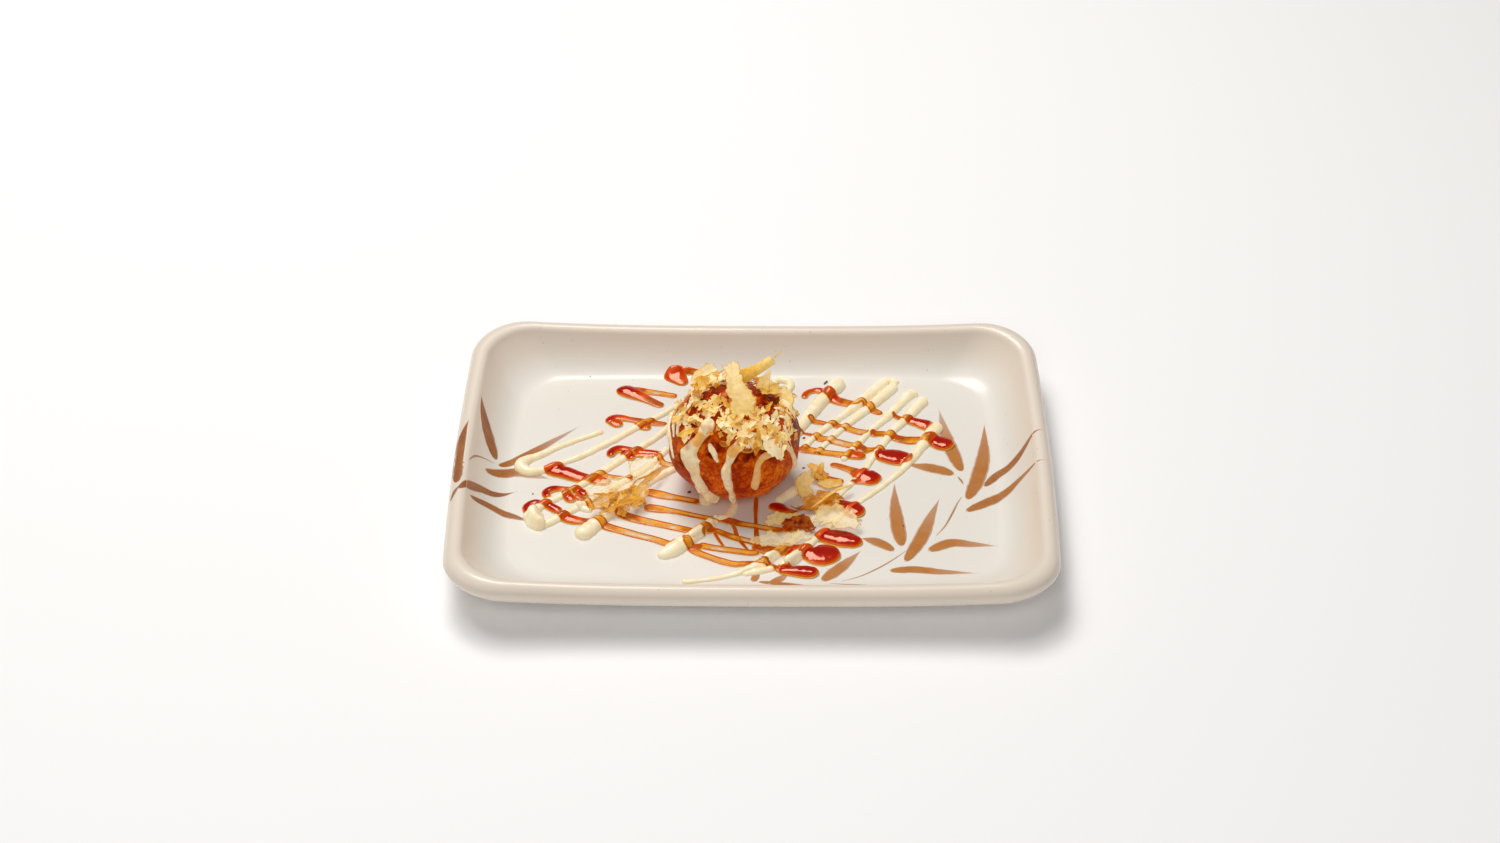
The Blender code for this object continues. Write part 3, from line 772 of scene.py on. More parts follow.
def crust_relief(point):
    """Height of the crust's dents and blisters over the smooth ball, in millimetres."""
    dents = DENT_DEPTH * wander(point, 8.0, 2)
    blisters = BLISTER_RISE * max(wander(point, 2.6, 6), 0.0) ** 2
    grain = GRAIN_RISE * wander(point, 0.9, 9)
    return dents + blisters + grain - CRUST_SINK


def crust_point(azimuth, polar):
    """A point on the rough crust, with the flat spot under the ball."""
    point, outward = ball_point(azimuth, polar)
    point = point + outward * crust_relief(point)
    point.z = max(point.z, BALL_FLAT)
    return point


# Sauce on the ball: azimuth, angle from the top, and reach, in degrees
GLAZE_SPOTS = [
    (157, 18, 17), (63, 31, 12), (4, 31, 17), (-20, 22, 10), (-146, 46, 8), (-128, 50, 9),
    (-108, 60, 10), (-84, 62, 12), (-60, 60, 16), (-42, 66, 12), (-5, 62, 13), (-14, 78, 8),
    (-76, 52, 10), (168, 30, 12), (120, 40, 15), (90, 62, 12), (30, 60, 12), (-100, 30, 12),
    (-141, 84, 7),
]
GLAZE_SPREAD = 1.5                  # where a spot has faded out, over its reach


def glaze_amount(azimuth, polar):
    """1 in the middle of a sauced spot, falling to 0 a little past its reach."""
    here = direction(azimuth, polar)
    amount = 0.0
    for spot_azimuth, spot_polar, reach in GLAZE_SPOTS:
        spot = direction(math.radians(spot_azimuth), math.radians(spot_polar))
        apart = math.degrees(here.angle(spot))
        amount = max(amount, 1 - apart / (reach * GLAZE_SPREAD))
    return amount


def make_ball(material):
    rows, columns = 110, 220
    vertices, glaze = [], []
    for i in range(1, rows):
        polar = math.pi * i / rows
        for j in range(columns):
            azimuth = 2 * math.pi * j / columns
            vertices.append(crust_point(azimuth, polar))
            glaze.append(glaze_amount(azimuth, polar))
    faces = grid_faces(rows - 1, columns, closed=True)
    for polar, ring_start, flip in ((0.0, 0, 1), (math.pi, (rows - 2) * columns, -1)):
        vertices.append(crust_point(0.0, polar))
        glaze.append(glaze_amount(0.0, polar))
        for j in range(columns):
            following = (j + 1) % columns
            faces.append((ring_start + j, ring_start + following, len(vertices) - 1)[::flip])
    piece = make_piece("fried_ball", vertices, faces, material, {"glaze": glaze})
    return keep(piece, "crust", "takoyaki_ball")


# --- mayonnaise ------------------------------------------------------------------------------

# Strands on the plate: the frame's node, then x, y and width along each
STRANDS = {
    "left_turn": [
        (-54, 25.2, 2.3), (-61, 21.2, 2.4), (-69, 16.4, 2.5), (-75.5, 11.6, 3.3),
        (-80.5, 8.2, 4.2), (-82.3, 5.0, 4.6), (-79.5, 2.0, 4.6), (-74.5, 2.8, 3.8),
        (-66.5, 7.6, 2.8), (-60, 11.8, 2.8), (-54, 16.8, 3.0), (-48.5, 21.6, 3.0),
        (-42, 27.6, 3.0), (-35, 33.5, 2.7), (-28, 40, 2.5), (-20, 48, 2.7), (-14, 54, 3.2)],
    "corner_turn": [
        (-29, 29.6, 3.0), (-35, 21.6, 2.9), (-41, 15.4, 2.8), (-46.5, 9.4, 3.0),
        (-53.5, 1.8, 3.0), (-60, -5.0, 3.0), (-67, -11.4, 3.1), (-72.6, -15.8, 3.4),
        (-76.0, -20.4, 3.7), (-75.2, -26.0, 3.8), (-71.4, -26.6, 3.7), (-66, -22.0, 3.3),
        (-58.5, -15.2, 2.8), (-50.5, -8.0, 2.8), (-43, -0.8, 2.8), (-38, 4.4, 2.8),
        (-33.5, 10.4, 2.9), (-30.5, 15.6, 2.8)],
    "front_left": [
        (-60, -33.8, 6.6), (-55.4, -28.2, 5.8), (-48, -17.8, 4.2), (-41.5, -9.0, 3.0),
        (-36, -3.2, 3.0), (-29.5, 2.6, 3.0), (-25.5, 6.4, 3.0)],
    "front": [
        (-32.0, -43.6, 3.6), (-27.6, -40.4, 6.2), (-23.0, -35.8, 6.2), (-17.5, -30.0, 4.6),
        (-13.5, -25.6, 3.4)],
    "thin_front": [
        (-23.6, -56.2, 2.7), (-20.4, -56.0, 2.0), (-12, -54.4, 1.8), (-5.0, -51.8, 2.3),
        (0.6, -48.4, 3.4), (4.4, -45.4, 3.2)],
    "back": [
        (6.6, 53.4, 3.0), (9.4, 55.8, 3.0), (13.0, 54.6, 3.3), (13.2, 51.0, 3.1),
        (9.8, 45.4, 2.8), (5.6, 39.0, 3.0), (1, 32, 3.0)],
    "back_right": [
        (32.4, 55.4, 6.2), (29, 50.0, 5.8), (24.8, 43.2, 5.4), (21, 36.2, 5.0), (17.4, 28.6, 4.4),
        (14.4, 21.6, 4.0)],
    "pair_left": [
        (49.4, 56.4, 4.6), (44, 49.2, 4.3), (38.2, 42.0, 3.8), (32.4, 34.8, 3.2), (26.4, 27.8, 2.8),
        (20.8, 20.6, 2.6), (18.0, 15.6, 2.4)],
    "pair_right": [
        (52.2, 53.0, 4.8), (47.4, 46.4, 4.2), (42.0, 39.6, 3.6), (36.6, 32.8, 3.0),
        (31.0, 25.8, 2.6), (26, 18.6, 2.4), (22.6, 12.6, 2.4)],
    "turn_left": [
        (60.2, 48.2, 4.4), (57.2, 47.4, 4.4), (54.6, 43.6, 4.0), (52.2, 39.8, 3.6),
        (48.2, 33.8, 3.2), (43.4, 27.6, 2.9), (39.4, 21.4, 2.6), (35.4, 15.2, 2.5),
        (31.8, 9.0, 2.4)],
    "turn_right": [
        (62.6, 45.2, 5.2), (59.2, 39.4, 4.2), (54.6, 32.2, 3.6), (50, 25.6, 3.2), (46.8, 19.2, 2.9),
        (43.4, 12.6, 2.6), (40.4, 5.6, 2.4), (36.2, -1.6, 2.2), (30.6, -9.6, 2.1),
        (24.6, -18, 2.1), (18.6, -27, 2.4), (12.6, -35.8, 3.0), (6.8, -43.4, 3.6),
        (2.6, -48.4, 3.6)],
    "right": [
        (67.2, 29.6, 6.6), (64.4, 25.0, 5.4), (60.2, 17.2, 4.2), (55.8, 8.8, 3.3), (50, 0.4, 2.7),
        (43.4, -7.4, 2.3), (37.2, -13.8, 2.1), (31.4, -20.6, 2.2), (25.6, -28.4, 2.6),
        (19.8, -36.6, 3.4), (14.2, -43.6, 4.2), (9.4, -48.6, 4.4)],
}

STRAND_RISE = 0.46                  # height of a strand over its width

# Short pieces lying over the strands: x, y, width and thickness along each
DAUBS = [
    [(-76.0, -19.6, 4.8, 2.2), (-76.0, -23.2, 6.8, 3.0), (-74.4, -26.6, 6.6, 2.8),
     (-71.6, -28.2, 4.6, 2.0)],
    [(49.6, 56.8, 3.6, 0.9), (51.4, 55.4, 4.4, 1.2), (52.4, 53.4, 3.6, 0.9)],
    [(19.2, -3.4, 3.0, 1.2), (15.4, -7.2, 3.6, 1.6), (11.4, -11.0, 3.4, 1.5), (8.4, -13.8, 2.6, 1.0)],
    [(9.6, -41.2, 2.6, 1.4), (6.2, -44.0, 3.4, 1.8), (3.2, -46.6, 3.2, 1.6)],
    [(17.6, -42.4, 2.4, 1.2), (14.2, -45.2, 3.4, 1.6), (11.0, -47.8, 2.6, 1.3)],
    [(7.6, -49.0, 2.2, 1.1), (2.4, -50.8, 3.0, 1.3), (-3.4, -52.0, 2.0, 0.9)],
    [(-12.2, -23.2, 2.6, 1.2), (-15.6, -27.6, 4.0, 1.6), (-19.4, -32.2, 3.6, 1.4),
     (-21.6, -35.0, 2.4, 1.0)],
    [(-40.6, -4.6, 1.8, 0.9), (-43.4, -7.2, 2.6, 1.2), (-46.6, -9.4, 1.8, 0.9)],
    [(-61.2, -16.4, 2.0, 1.0), (-58.6, -18.2, 2.8, 1.2), (-55.8, -19.4, 2.0, 0.9)],
]


class Spot(typing.NamedTuple):
    """A place on a mound: what its height and its looks are worked out from."""
    v: float                        # from -1 to 1 across the mound
    extra: float                    # the number given with the route: fullness or thickness
    width: float
    lift: float                     # height above the plate of whatever lies under it
    inwards: float                  # distance in from the mound's outline
    aside: Vector                   # offset from the mound's spine, 1 long at its outline
    place: Vector


def laid_mound(points, ground, rise_at, columns, spacing, values_at, roughen=0.07, seed=1):
    """A mound of soft food along a route on the plate, following whatever lies under it.

    Returns points, faces and values for each point.
    """
    dense = spline(points)
    length = route_length(dense, 2)
    places, tapers = rounded_places(length, points[0][2] / 2, points[-1][2] / 2, spacing)
    stations = resample(dense, places, 2)
    top, bottom, values = [], [], []
    for i, station in enumerate(stations):
        ahead = stations[min(i + 1, len(stations) - 1)] - stations[max(i - 1, 0)]
        across = Vector((-ahead.y, ahead.x)).normalized()
        onward = Vector((ahead.x, ahead.y)).normalized()
        to_start, to_end = places[i], places[-1] - places[i]
        before = max(points[0][2] / 2 - to_start, 0.0) - max(points[-1][2] / 2 - to_end, 0.0)
        x0, y0 = station.x, station.y
        swell = 1 + roughen * wander((x0, y0, seed), 5.0, 3) + roughen * wander((x0, y0, seed), 2.0, 8)
        half_width = station.z / 2 * tapers[i] * swell
        drift = 0.4 * roughen * station.z * wander((x0, y0, seed), 7.0, 5)
        for j in range(columns):
            v = -math.cos(math.pi * j / (columns - 1))
            x = x0 + across.x * (v * half_width + drift)
            y = y0 + across.y * (v * half_width + drift)
            base = ground.height(x, y)
            extra = station[3] if len(station) > 3 else 0.0
            aside = (across * v * half_width - onward * before) / (station.z / 2)
            inwards = (1 - aside.length) * station.z / 2
            spot = Spot(v, extra, station.z, ground.lift(x, y), max(inwards, 0.0), aside,
                        Vector((x, y, 0)))
            top.append((x, y, base + rise_at(spot) * tapers[i] ** 0.7 * swell))
            bottom.append((x, y, base - 0.1))
            values.append(values_at(spot))
    vertices, faces = shell(top, bottom, len(stations), columns)
    return vertices, faces, values * 2


def bead(v, fullness=2.3, roundness=0.55):
    """Height across a round bead that bulges over its foot, 1 in the middle."""
    return max(1 - abs(v) ** fullness, 0.0) ** roundness


def strand_rise(spot):
    return spot.width * STRAND_RISE * bead(spot.v)


def daub_rise(spot):
    return spot.extra * bead(spot.v)


def unstained(_):
    return 0.0


def make_strands(ground, material):
    pieces = []
    for seed, (name, points) in enumerate(STRANDS.items()):
        node = "mayonnaise_strand_" + name
        low, high = box_mm(node)
        lift = (high.z - low.z) / (max(p[2] for p in points) * STRAND_RISE)

        def rise_at(spot, lift=min(lift, 1.0)):
            return strand_rise(spot) * lift
        vertices, faces, values = laid_mound(
            points, ground, rise_at, 17, 0.7, unstained, seed=seed)
        piece = make_piece("mayonnaise_" + name, vertices, faces, material, {"stain": values})
        pieces.append(keep(piece, "mayonnaise", node))
    return pieces


def make_daubs(ground, material):
    vertices, faces, values = merge(
        laid_mound(route, ground, daub_rise, 15, 0.5, unstained, roughen=0.12, seed=seed + 40)
        for seed, route in enumerate(DAUBS))
    piece = make_piece("mayonnaise_daubs", vertices, faces, material, {"stain": values})
    return keep(piece, "mayonnaise")


# --- sauce -----------------------------------------------------------------------------------

# Rows of sauce: x, y, width, and how full the row is: 0 a thin double line, 1 a deep pool
SAUCE_ROWS = {
    "back_left_1": [
        [(-30.4, 60.4, 6.6, 0.7), (-29.2, 58.6, 9.0, 0.85), (-27.2, 55.8, 6.8, 0.8),
         (-25.4, 53.4, 3.6, 0.6)],
        [(-28.4, 59.8, 3.6, 0.8), (-25, 60.0, 3.6, 0.6), (-22, 59.8, 3.0, 0.4), (-18.5, 59.2, 2.6, 0.2)]],
    "back_left_2": [
        [(-49.4, 49.4, 5.0, 1), (-46.5, 48.8, 7.4, 1), (-43, 46.8, 6.6, 0.9), (-39, 44.2, 4.8, 0.6),
         (-35, 41.4, 4.0, 0.45), (-33.2, 40.6, 3.6, 0.4)],
        [(-46, 49.4, 5.0, 0.9), (-42, 49.2, 4.8, 0.7), (-38, 48.6, 3.8, 0.25), (-33.5, 47.6, 3.4, 0.15),
         (-28.5, 46.2, 3.2, 0.1)]],
    "left_1": [
        [(-52.2, 30.2, 3.2, 0.9), (-51.2, 32.4, 4.6, 0.9), (-48.6, 33, 4.6, 0.8), (-44.5, 32.2, 3.6, 0.6),
         (-40, 31, 4.0, 0.6), (-36, 30.2, 3.6, 0.5), (-31.5, 29.6, 2.6, 0.3)],
        [(-51.6, 31.4, 4.2, 0.9), (-50, 30.2, 5.0, 0.8), (-48, 28.6, 4.2, 0.8)],
        [(-42, 29.6, 4.4, 0.5), (-39.5, 28.0, 4.6, 0.6), (-37.4, 27.2, 3.4, 0.6)]],
    "left_2": [
        [(-73.0, 3.2, 5.4, 1), (-70.4, 3.0, 7.6, 1), (-66.6, 1.6, 7.2, 1), (-63, -0.2, 6.8, 0.95),
         (-59.4, -1.6, 5.8, 0.85), (-56, -2.2, 5.4, 0.7), (-53, -3.0, 5.2, 0.7), (-50.6, -3.6, 3.8, 0.6)],
        [(-57, 0.6, 2.6, 0.3), (-53, 0.2, 3.2, 0.4), (-50, -0.6, 3.0, 0.3), (-46, -1.2, 2.6, 0.15),
         (-42.6, -1.8, 2.2, 0.1)]],
    "left_3": [
        [(-50.6, 10.8, 3.0, 1), (-50.2, 13.2, 4.4, 1), (-48, 15, 4.6, 0.9), (-44.6, 14.6, 4.2, 0.8),
         (-40.6, 13.4, 4.0, 0.8), (-36.4, 12.8, 4.2, 0.9), (-33.4, 12.4, 3.6, 0.8)],
        [(-46.2, 13.2, 4.4, 1), (-44.4, 11.4, 4.6, 1), (-42.8, 9.4, 4.0, 1)],
        [(-42, 11.6, 3.0, 0.7), (-38.5, 11.6, 3.4, 0.8), (-34.6, 11.4, 3.4, 0.9)],
        [(-33.6, 11, 3, 0.6), (-32.2, 7.8, 3.2, 0.3), (-30.4, 6.6, 3.6, 0.1), (-27, 5.2, 3.2, 0.05)]],
    "left_4": [
        [(-71.6, -12.2, 3.0, 1), (-72.2, -9.6, 4.0, 1), (-70, -7.6, 4.2, 1), (-66, -7.4, 3.2, 0.6),
         (-62, -8.4, 4.0, 0.8), (-59.6, -9.8, 4.6, 1), (-58.6, -11.6, 3.6, 0.9)],
        [(-65.6, -9.4, 3.2, 0.4), (-64.6, -11.6, 4.6, 0.9), (-62.8, -14.0, 4.6, 0.8)],
        [(-61.6, -11, 3.4, 0.7), (-59.4, -13.2, 3.4, 0.5), (-57, -15.4, 3, 0.2), (-56, -18, 3.4, 0.2)]],
    "left_5": [
        [(-78.2, -20.6, 2.8, 0.9), (-78.4, -17.6, 4.0, 1), (-76, -15.4, 4.4, 1), (-72.6, -16.0, 4.0, 0.95),
         (-69.4, -18.0, 4.6, 1), (-67, -20, 4.0, 0.8)],
        [(-67, -20.8, 3.6, 0.7), (-64.8, -23.2, 5.0, 0.9), (-61.6, -24.4, 5.2, 0.8),
         (-58.4, -24.8, 4.0, 0.6), (-54.6, -24.6, 3.0, 0.3), (-52.6, -25.8, 3.8, 0.5),
         (-50.2, -27.6, 4.4, 0.5), (-46, -29.4, 4.0, 0.2), (-40, -31.8, 3.8, 0.12),
         (-34, -34, 3.6, 0.12), (-29.4, -36.2, 3.8, 0.35), (-27, -36.8, 3.4, 0.4)]],
    "front_left_1": [
        [(-37, -8.6, 4.6, 0.4), (-32, -10.4, 4.6, 0.3), (-27, -11.8, 3.6, 0.15), (-22, -13.2, 3.4, 0.2),
         (-18.4, -14.4, 4.2, 0.9)]],
    "front_left_2": [
        [(-37, -17.4, 4.4, 0.4), (-33, -18, 4.6, 0.3), (-28, -19, 3.4, 0.12), (-22, -20.8, 3.0, 0.1),
         (-17, -22.4, 3.0, 0.15), (-14, -23.4, 3.4, 0.3), (-11, -23.6, 3.6, 0.6), (-8, -24.4, 4.2, 0.6),
         (-4, -25.8, 3.6, 0.3), (1, -27, 3.2, 0.25), (6, -28.4, 3.4, 0.35), (10.6, -29.4, 3.6, 0.6)],
        [(11, -29.4, 3.4, 0.7), (13.8, -27.4, 6.4, 0.9), (16.4, -26.4, 7.8, 1), (18.8, -28.6, 4.6, 0.9)]],
    "front_left_3": [
        [(-47.6, -18.6, 3.6, 0.9), (-45, -21.2, 4.4, 0.6), (-40, -23.6, 4.4, 0.3), (-34, -25.6, 4, 0.2),
         (-28, -27.4, 3.8, 0.15), (-22.6, -29.2, 3.8, 0.4), (-19.4, -30.4, 3.8, 0.55)],
        [(-18, -28.4, 2.4, 0.4), (-15.6, -29.8, 3.4, 0.7), (-12.6, -29.4, 3.0, 0.4), (-9, -31.6, 3.4, 0.3),
         (-5.4, -33.4, 3.4, 0.15), (-1, -35, 3.2, 0.2), (1.4, -36.4, 3, 0.5)]],
    "front_left_4": [
        [(-23.0, -36.6, 3.0, 0.4), (-20.2, -38.6, 4.6, 0.5), (-17.6, -37.4, 3.4, 0.5)],
        [(-23.2, -35.2, 2.6, 0.2), (-21.2, -37.6, 3.8, 0.3), (-19.4, -40.4, 3.6, 0.25),
         (-14, -43.6, 3.4, 0.1), (-9, -46, 3.6, 0.1), (-5.6, -47, 3.4, 0.3), (-3, -46.8, 3.0, 0.3),
         (0, -46.4, 2.6, 0.4), (4, -47, 2.6, 0.3), (7.6, -48.4, 2.8, 0.5), (9.8, -50.4, 3.4, 0.8)]],
    "front_left_5": [
        [(-17.8, -37.2, 4.0, 0.4), (-13, -38.6, 3.6, 0.12), (-7, -39.8, 3.6, 0.1), (-1, -41, 3.6, 0.15),
         (2, -40.6, 3.6, 0.4)],
        [(0.6, -38.0, 3.4, 0.5), (4.4, -39.4, 5.2, 0.55), (8.4, -40.4, 5.6, 0.5), (12, -39.6, 5.0, 0.6),
         (15, -38.8, 4.4, 0.8), (17.6, -38.2, 3.4, 0.6)],
        [(14.6, -38.4, 3.2, 0.9), (13.2, -40.8, 3.0, 0.9), (11.8, -43.2, 2.2, 0.8)]],
    "right_1": [
        [(50.8, 35.6, 2.2, 0.2), (52.4, 34.0, 2.8, 0.4), (54.4, 33.2, 2.6, 0.2), (56.2, 32.2, 4.4, 0.9),
         (59.4, 31.0, 5.6, 0.95), (62.2, 29.6, 6.6, 0.95), (63.8, 28.8, 6.0, 0.9)],
        [(42.8, 24.2, 4.6, 0.7), (46.4, 24.6, 3.4, 0.35), (49.6, 23.4, 4.2, 0.5), (52, 21.8, 4.4, 0.5),
         (56, 20.8, 5.0, 0.3), (60.6, 21.0, 4.6, 0.35), (64, 20.4, 6.4, 0.95), (67.4, 19.2, 8.6, 1),
         (70.8, 17.8, 6.8, 1)]],
    "right_2": [
        [(16, 25.2, 1.6, 0.2), (19, 24.4, 1.6, 0.2), (22, 23.2, 2.6, 0.4), (24, 21.8, 4.0, 0.3),
         (29, 20.2, 4.0, 0.12), (34, 18.2, 4.0, 0.12), (37.4, 17, 4.4, 0.5), (39.6, 15.2, 5.0, 0.6),
         (41.8, 15.4, 3.0, 0.3), (45, 15.8, 2.4, 0.2), (47, 14.4, 4.0, 0.6)],
        [(44.4, 12.0, 5.6, 1), (48, 11.6, 8.8, 1), (52, 10.8, 9.2, 1), (55.8, 9.8, 6.0, 0.95)]],
    "right_3": [
        [(28, 6.8, 3.2, 0.4), (31, 5.8, 3.4, 0.4), (35, 3.6, 4.2, 0.4), (38, 1.4, 7.4, 1),
         (41.2, -0.4, 9.2, 1), (44.4, -0.8, 6.0, 1)],
        [(34.6, -3.2, 2.0, 0.5), (37, -3, 2.4, 0.6), (40.4, -2.8, 4.0, 0.9)],
        [(22.6, -1.2, 2.6, 0.4), (25, -0.8, 3.6, 0.5), (28.6, -2, 4.0, 0.4), (31.6, -2.6, 3.2, 0.3)]],
    "right_4": [
        [(24, -17.6, 2.4, 0.4), (27.6, -15.0, 3.4, 0.5), (30.4, -14.6, 4.4, 0.9), (32.8, -16.4, 7.0, 1),
         (35.4, -18.6, 8.6, 1), (37.6, -20.6, 5.8, 1)]],
    "right_5": [
        [(18.6, 45.4, 2.8, 0.8), (19.6, 48.2, 3.2, 0.8), (22.6, 49.8, 3.6, 0.85), (25.6, 49.0, 4.6, 0.9),
         (27.8, 46.4, 5.4, 0.95), (30, 44.2, 5.4, 0.85), (33, 42.8, 4.8, 0.45), (36.6, 41.8, 4.4, 0.35),
         (39.6, 42.6, 2.6, 0.3), (41.6, 40.8, 3.4, 0.45), (43.4, 38.4, 3.8, 0.5), (46.4, 36.4, 2.6, 0.25)]],
    "right_6": [
        [(20.2, 32.2, 3.4, 0.5), (23.4, 31.2, 3.2, 0.25), (27.4, 30.0, 2.6, 0.15), (29.8, 29.2, 3.2, 0.5),
         (33, 28, 3.6, 0.2), (37.4, 26, 3.8, 0.15), (41, 25.2, 3.8, 0.2)]],
    "right_7": [
        [(17, 15.6, 4.6, 0.5), (20, 15, 4.2, 0.3), (25, 13.8, 3.8, 0.15), (30, 12.8, 3.8, 0.15),
         (33.6, 12.2, 4.6, 0.5), (36.4, 12, 5.2, 0.8), (39.6, 11.4, 4.0, 0.6)]],
    "front_1": [
        [(22.2, -32.0, 5.0, 1), (26, -32.6, 8.2, 1), (30.6, -33.6, 9.4, 1), (35, -35.2, 7.4, 1),
         (37, -36.0, 5.0, 1)]],
    "front_2": [
        [(17.4, -39.0, 4.4, 0.9), (19.6, -41.2, 8.4, 1), (22.6, -42.2, 11.6, 1), (26, -42.4, 11.4, 1),
         (28.8, -43.2, 7.4, 1)]],
    "front_3": [
        [(9.6, -50.4, 4.0, 0.9), (13, -50.6, 5.6, 1), (18, -51.0, 7.2, 1), (21.8, -51.8, 5.6, 1)]],
    "front_4": [
        [(6.4, -16.4, 4.2, 1), (9, -17.2, 5.8, 1), (12, -19, 3.6, 0.9), (15.6, -19.8, 2.4, 0.5)]],
}

# Sauce that has run off the ball in thin lines: x, y, width and fullness
SAUCE_DRIPS = [
    [(-13, -30.6, 1.6, 0.2), (-11.4, -34.6, 1.5, 0.2), (-9.8, -37.6, 1.2, 0.2)],
    [(-16.2, -30.4, 1.6, 0.2), (-16.8, -32.4, 1.4, 0.2)],
    [(-7.6, -24.2, 1.5, 0.2), (-6, -28.6, 1.7, 0.2), (-5.2, -32.6, 2.0, 0.2), (-3.2, -36.6, 1.5, 0.2),
     (-1.2, -40.2, 1.2, 0.2)],
    [(1.4, -11.8, 1.8, 0.2), (1.2, -17, 2.0, 0.2), (1.2, -24, 1.5, 0.2), (1.4, -30, 2.0, 0.2),
     (1.8, -36, 2.6, 0.2)],
]

POOL_RISE, LINE_RISE = 1.30, 0.42   # height of a deep pool and of a thin line of sauce
FILM_RISE = 0.16                    # height of the film left on top of a strand
END_REACH = 0.22                    # how far a row's ends run past its points, over its width
POOL_LEAN, LEAN_TOWARDS = 0.28, Vector((0.5, 0.87))     # a pool is highest at its back
# The side of a pool away from the lamp is painted paler, with a wider amber rim, as a painted glow.
PAINTED_GLOW_TOWARDS = Vector((0.6, -0.8))  # light gathers at the side of a pool away from the lamp


def mounted(lift):
    """0 on the plate and 1 on top of a strand, where only a film of sauce stays."""
    return smooth_step(0.25, 1.0, lift)


def sauce_rise(spot):
    """A smooth dome leaning a little; a thin row is hollow between its edges."""
    dome = max(1 - spot.v ** 2, 0.0) ** 0.8
    hollow = 1 - 0.5 * (1 - spot.extra) * (1 - smooth_step(0.2, 0.75, abs(spot.v)))
    lean = 1 + POOL_LEAN * spot.extra * spot.aside.dot(LEAN_TOWARDS)
    height = LINE_RISE + (POOL_RISE - LINE_RISE) * spot.extra * min(spot.width / 7, 1.0)
    film = FILM_RISE + 0.25 * spot.extra
    return dome * (height * hollow * lean + (film - height * hollow) * mounted(spot.lift))


def sauce_depth(spot):
    """How deep the sauce looks: thin at the rim, darkest just inside it, clear in a thin row; a painted
    glow pales the side away from the lamp.
    """
    clumps = 0.16 * wander(spot.place, 4.5, 11) + 0.06 * wander(spot.place, 1.5, 12)
    fill = min(max(spot.extra + clumps * (1 - spot.extra), 0.0), 1.0)
    # painted glow: paler body and wider amber rim on the side away from the lamp
    painted_glow = fill * spot.aside.dot(PAINTED_GLOW_TOWARDS)
    rim = smooth_step(0.0, 0.26 + 1.20 * fill + 0.9 * painted_glow, spot.inwards)
    edge = 1 - smooth_step(0.58, 1.10, spot.inwards) * smooth_step(1.6, 3.0, spot.width)
    # a thin row's pale middle is partly its thinner sauce and partly a painted sheen
    middle = 0.05 + 0.85 * fill ** 1.5
    deep = middle + (0.36 + 0.54 * fill - middle) * edge - 0.30 * max(painted_glow, 0.0)
    film = 0.05 + 0.12 * fill + 0.34 * fill ** 3 + (0.24 + 0.10 * fill) * edge
    return rim * (deep + (film - deep) * mounted(spot.lift))


def reaching(route):
    """The route with its ends drawn out a little."""
    first, second, before, last = (Vector(route[k]) for k in (0, 1, -2, -1))
    drawn = [Vector(point) for point in route]
    start, stop = (first - second).to_2d().normalized(), (last - before).to_2d().normalized()
    drawn[0][0] += start.x * first[2] * END_REACH
    drawn[0][1] += start.y * first[2] * END_REACH
    drawn[-1][0] += stop.x * last[2] * END_REACH
    drawn[-1][1] += stop.y * last[2] * END_REACH
    return drawn


def make_sauce(ground, material):
    """Every row climbs over what lies under it; a row's stretches are joined in one piece."""
    pieces = []
    rows = [(name, routes, "sauce_pool_" + name) for name, routes in SAUCE_ROWS.items()]
    for seed, (name, routes, node) in enumerate(rows + [("drips", SAUCE_DRIPS, None)]):
        parts = [laid_mound(reaching(route), ground, sauce_rise, 19, 0.45, sauce_depth,
                            0.03, seed + 0.37 * k) for k, route in enumerate(routes)]
        vertices, faces, depths = merge(parts)
        piece = make_piece("sauce_" + name, vertices, faces, material, {"depth": depths})
        pieces.append(keep(piece, "sauce", *([node] if node in frame["nodes"] else [])))
    return pieces


# --- mayonnaise on the ball ------------------------------------------------------------------

# Drips down the ball: how stained, which partly paints their tan shade under the ball, then
# azimuth and angle from the top in degrees, width and thickness
DRIPS = {
    "left": (0.30, [
        (-127, 31, 4.4, 2.4), (-127, 37, 4.9, 2.6), (-127, 44, 4.6, 2.1), (-128, 51, 3.8, 1.3),
        (-130, 58, 4.4, 1.0), (-133, 66, 7.2, 1.1), (-134, 74, 9.0, 1.3), (-132, 82, 7.8, 1.2),
        (-126, 91, 5.0, 1.2), (-121, 102, 4.0, 1.6), (-118, 116, 4.0, 2.0), (-116, 130, 4.2, 2.2),
        (-116, 142, 4.2, 2.2)]),
    "front": (0.28, [
        (-75, 44, 2.6, 0.9), (-84, 52, 4.0, 0.9), (-90, 58, 3.8, 0.9), (-93, 66, 3.0, 1.1),
        (-96, 76, 3.4, 1.5), (-96, 86, 3.2, 1.5), (-94, 97, 2.6, 1.3), (-92, 108, 2.2, 1.3),
        (-91, 122, 2.2, 1.3), (-91, 140, 2.2, 1.4)]),
    "hook": (0.74, [
        (-35, 62, 2.2, 0.7), (-44, 66, 2.3, 0.7), (-54, 68, 2.4, 0.8), (-62, 69, 2.5, 0.9),
        (-67, 74, 2.4, 0.9), (-69, 82, 2.4, 0.9), (-70, 91, 2.7, 0.9), (-71, 98, 3.0, 1.0),
        (-71, 103, 2.8, 1.0)]),
    "right": (0.32, [
        (-37, 64, 2.6, 0.8), (-33, 73, 2.5, 0.9), (-29, 83, 2.0, 0.9), (-26, 93, 2.0, 0.9),
        (-23, 104, 2.2, 1.0), (-22, 110, 2.2, 1.0)]),
}

# Where sauce has coloured them: azimuth, angle from the top, reach in degrees
STAINS = [(-128, 53, 8), (-90, 57, 7), (-80, 48, 6), (-40, 64, 6)]

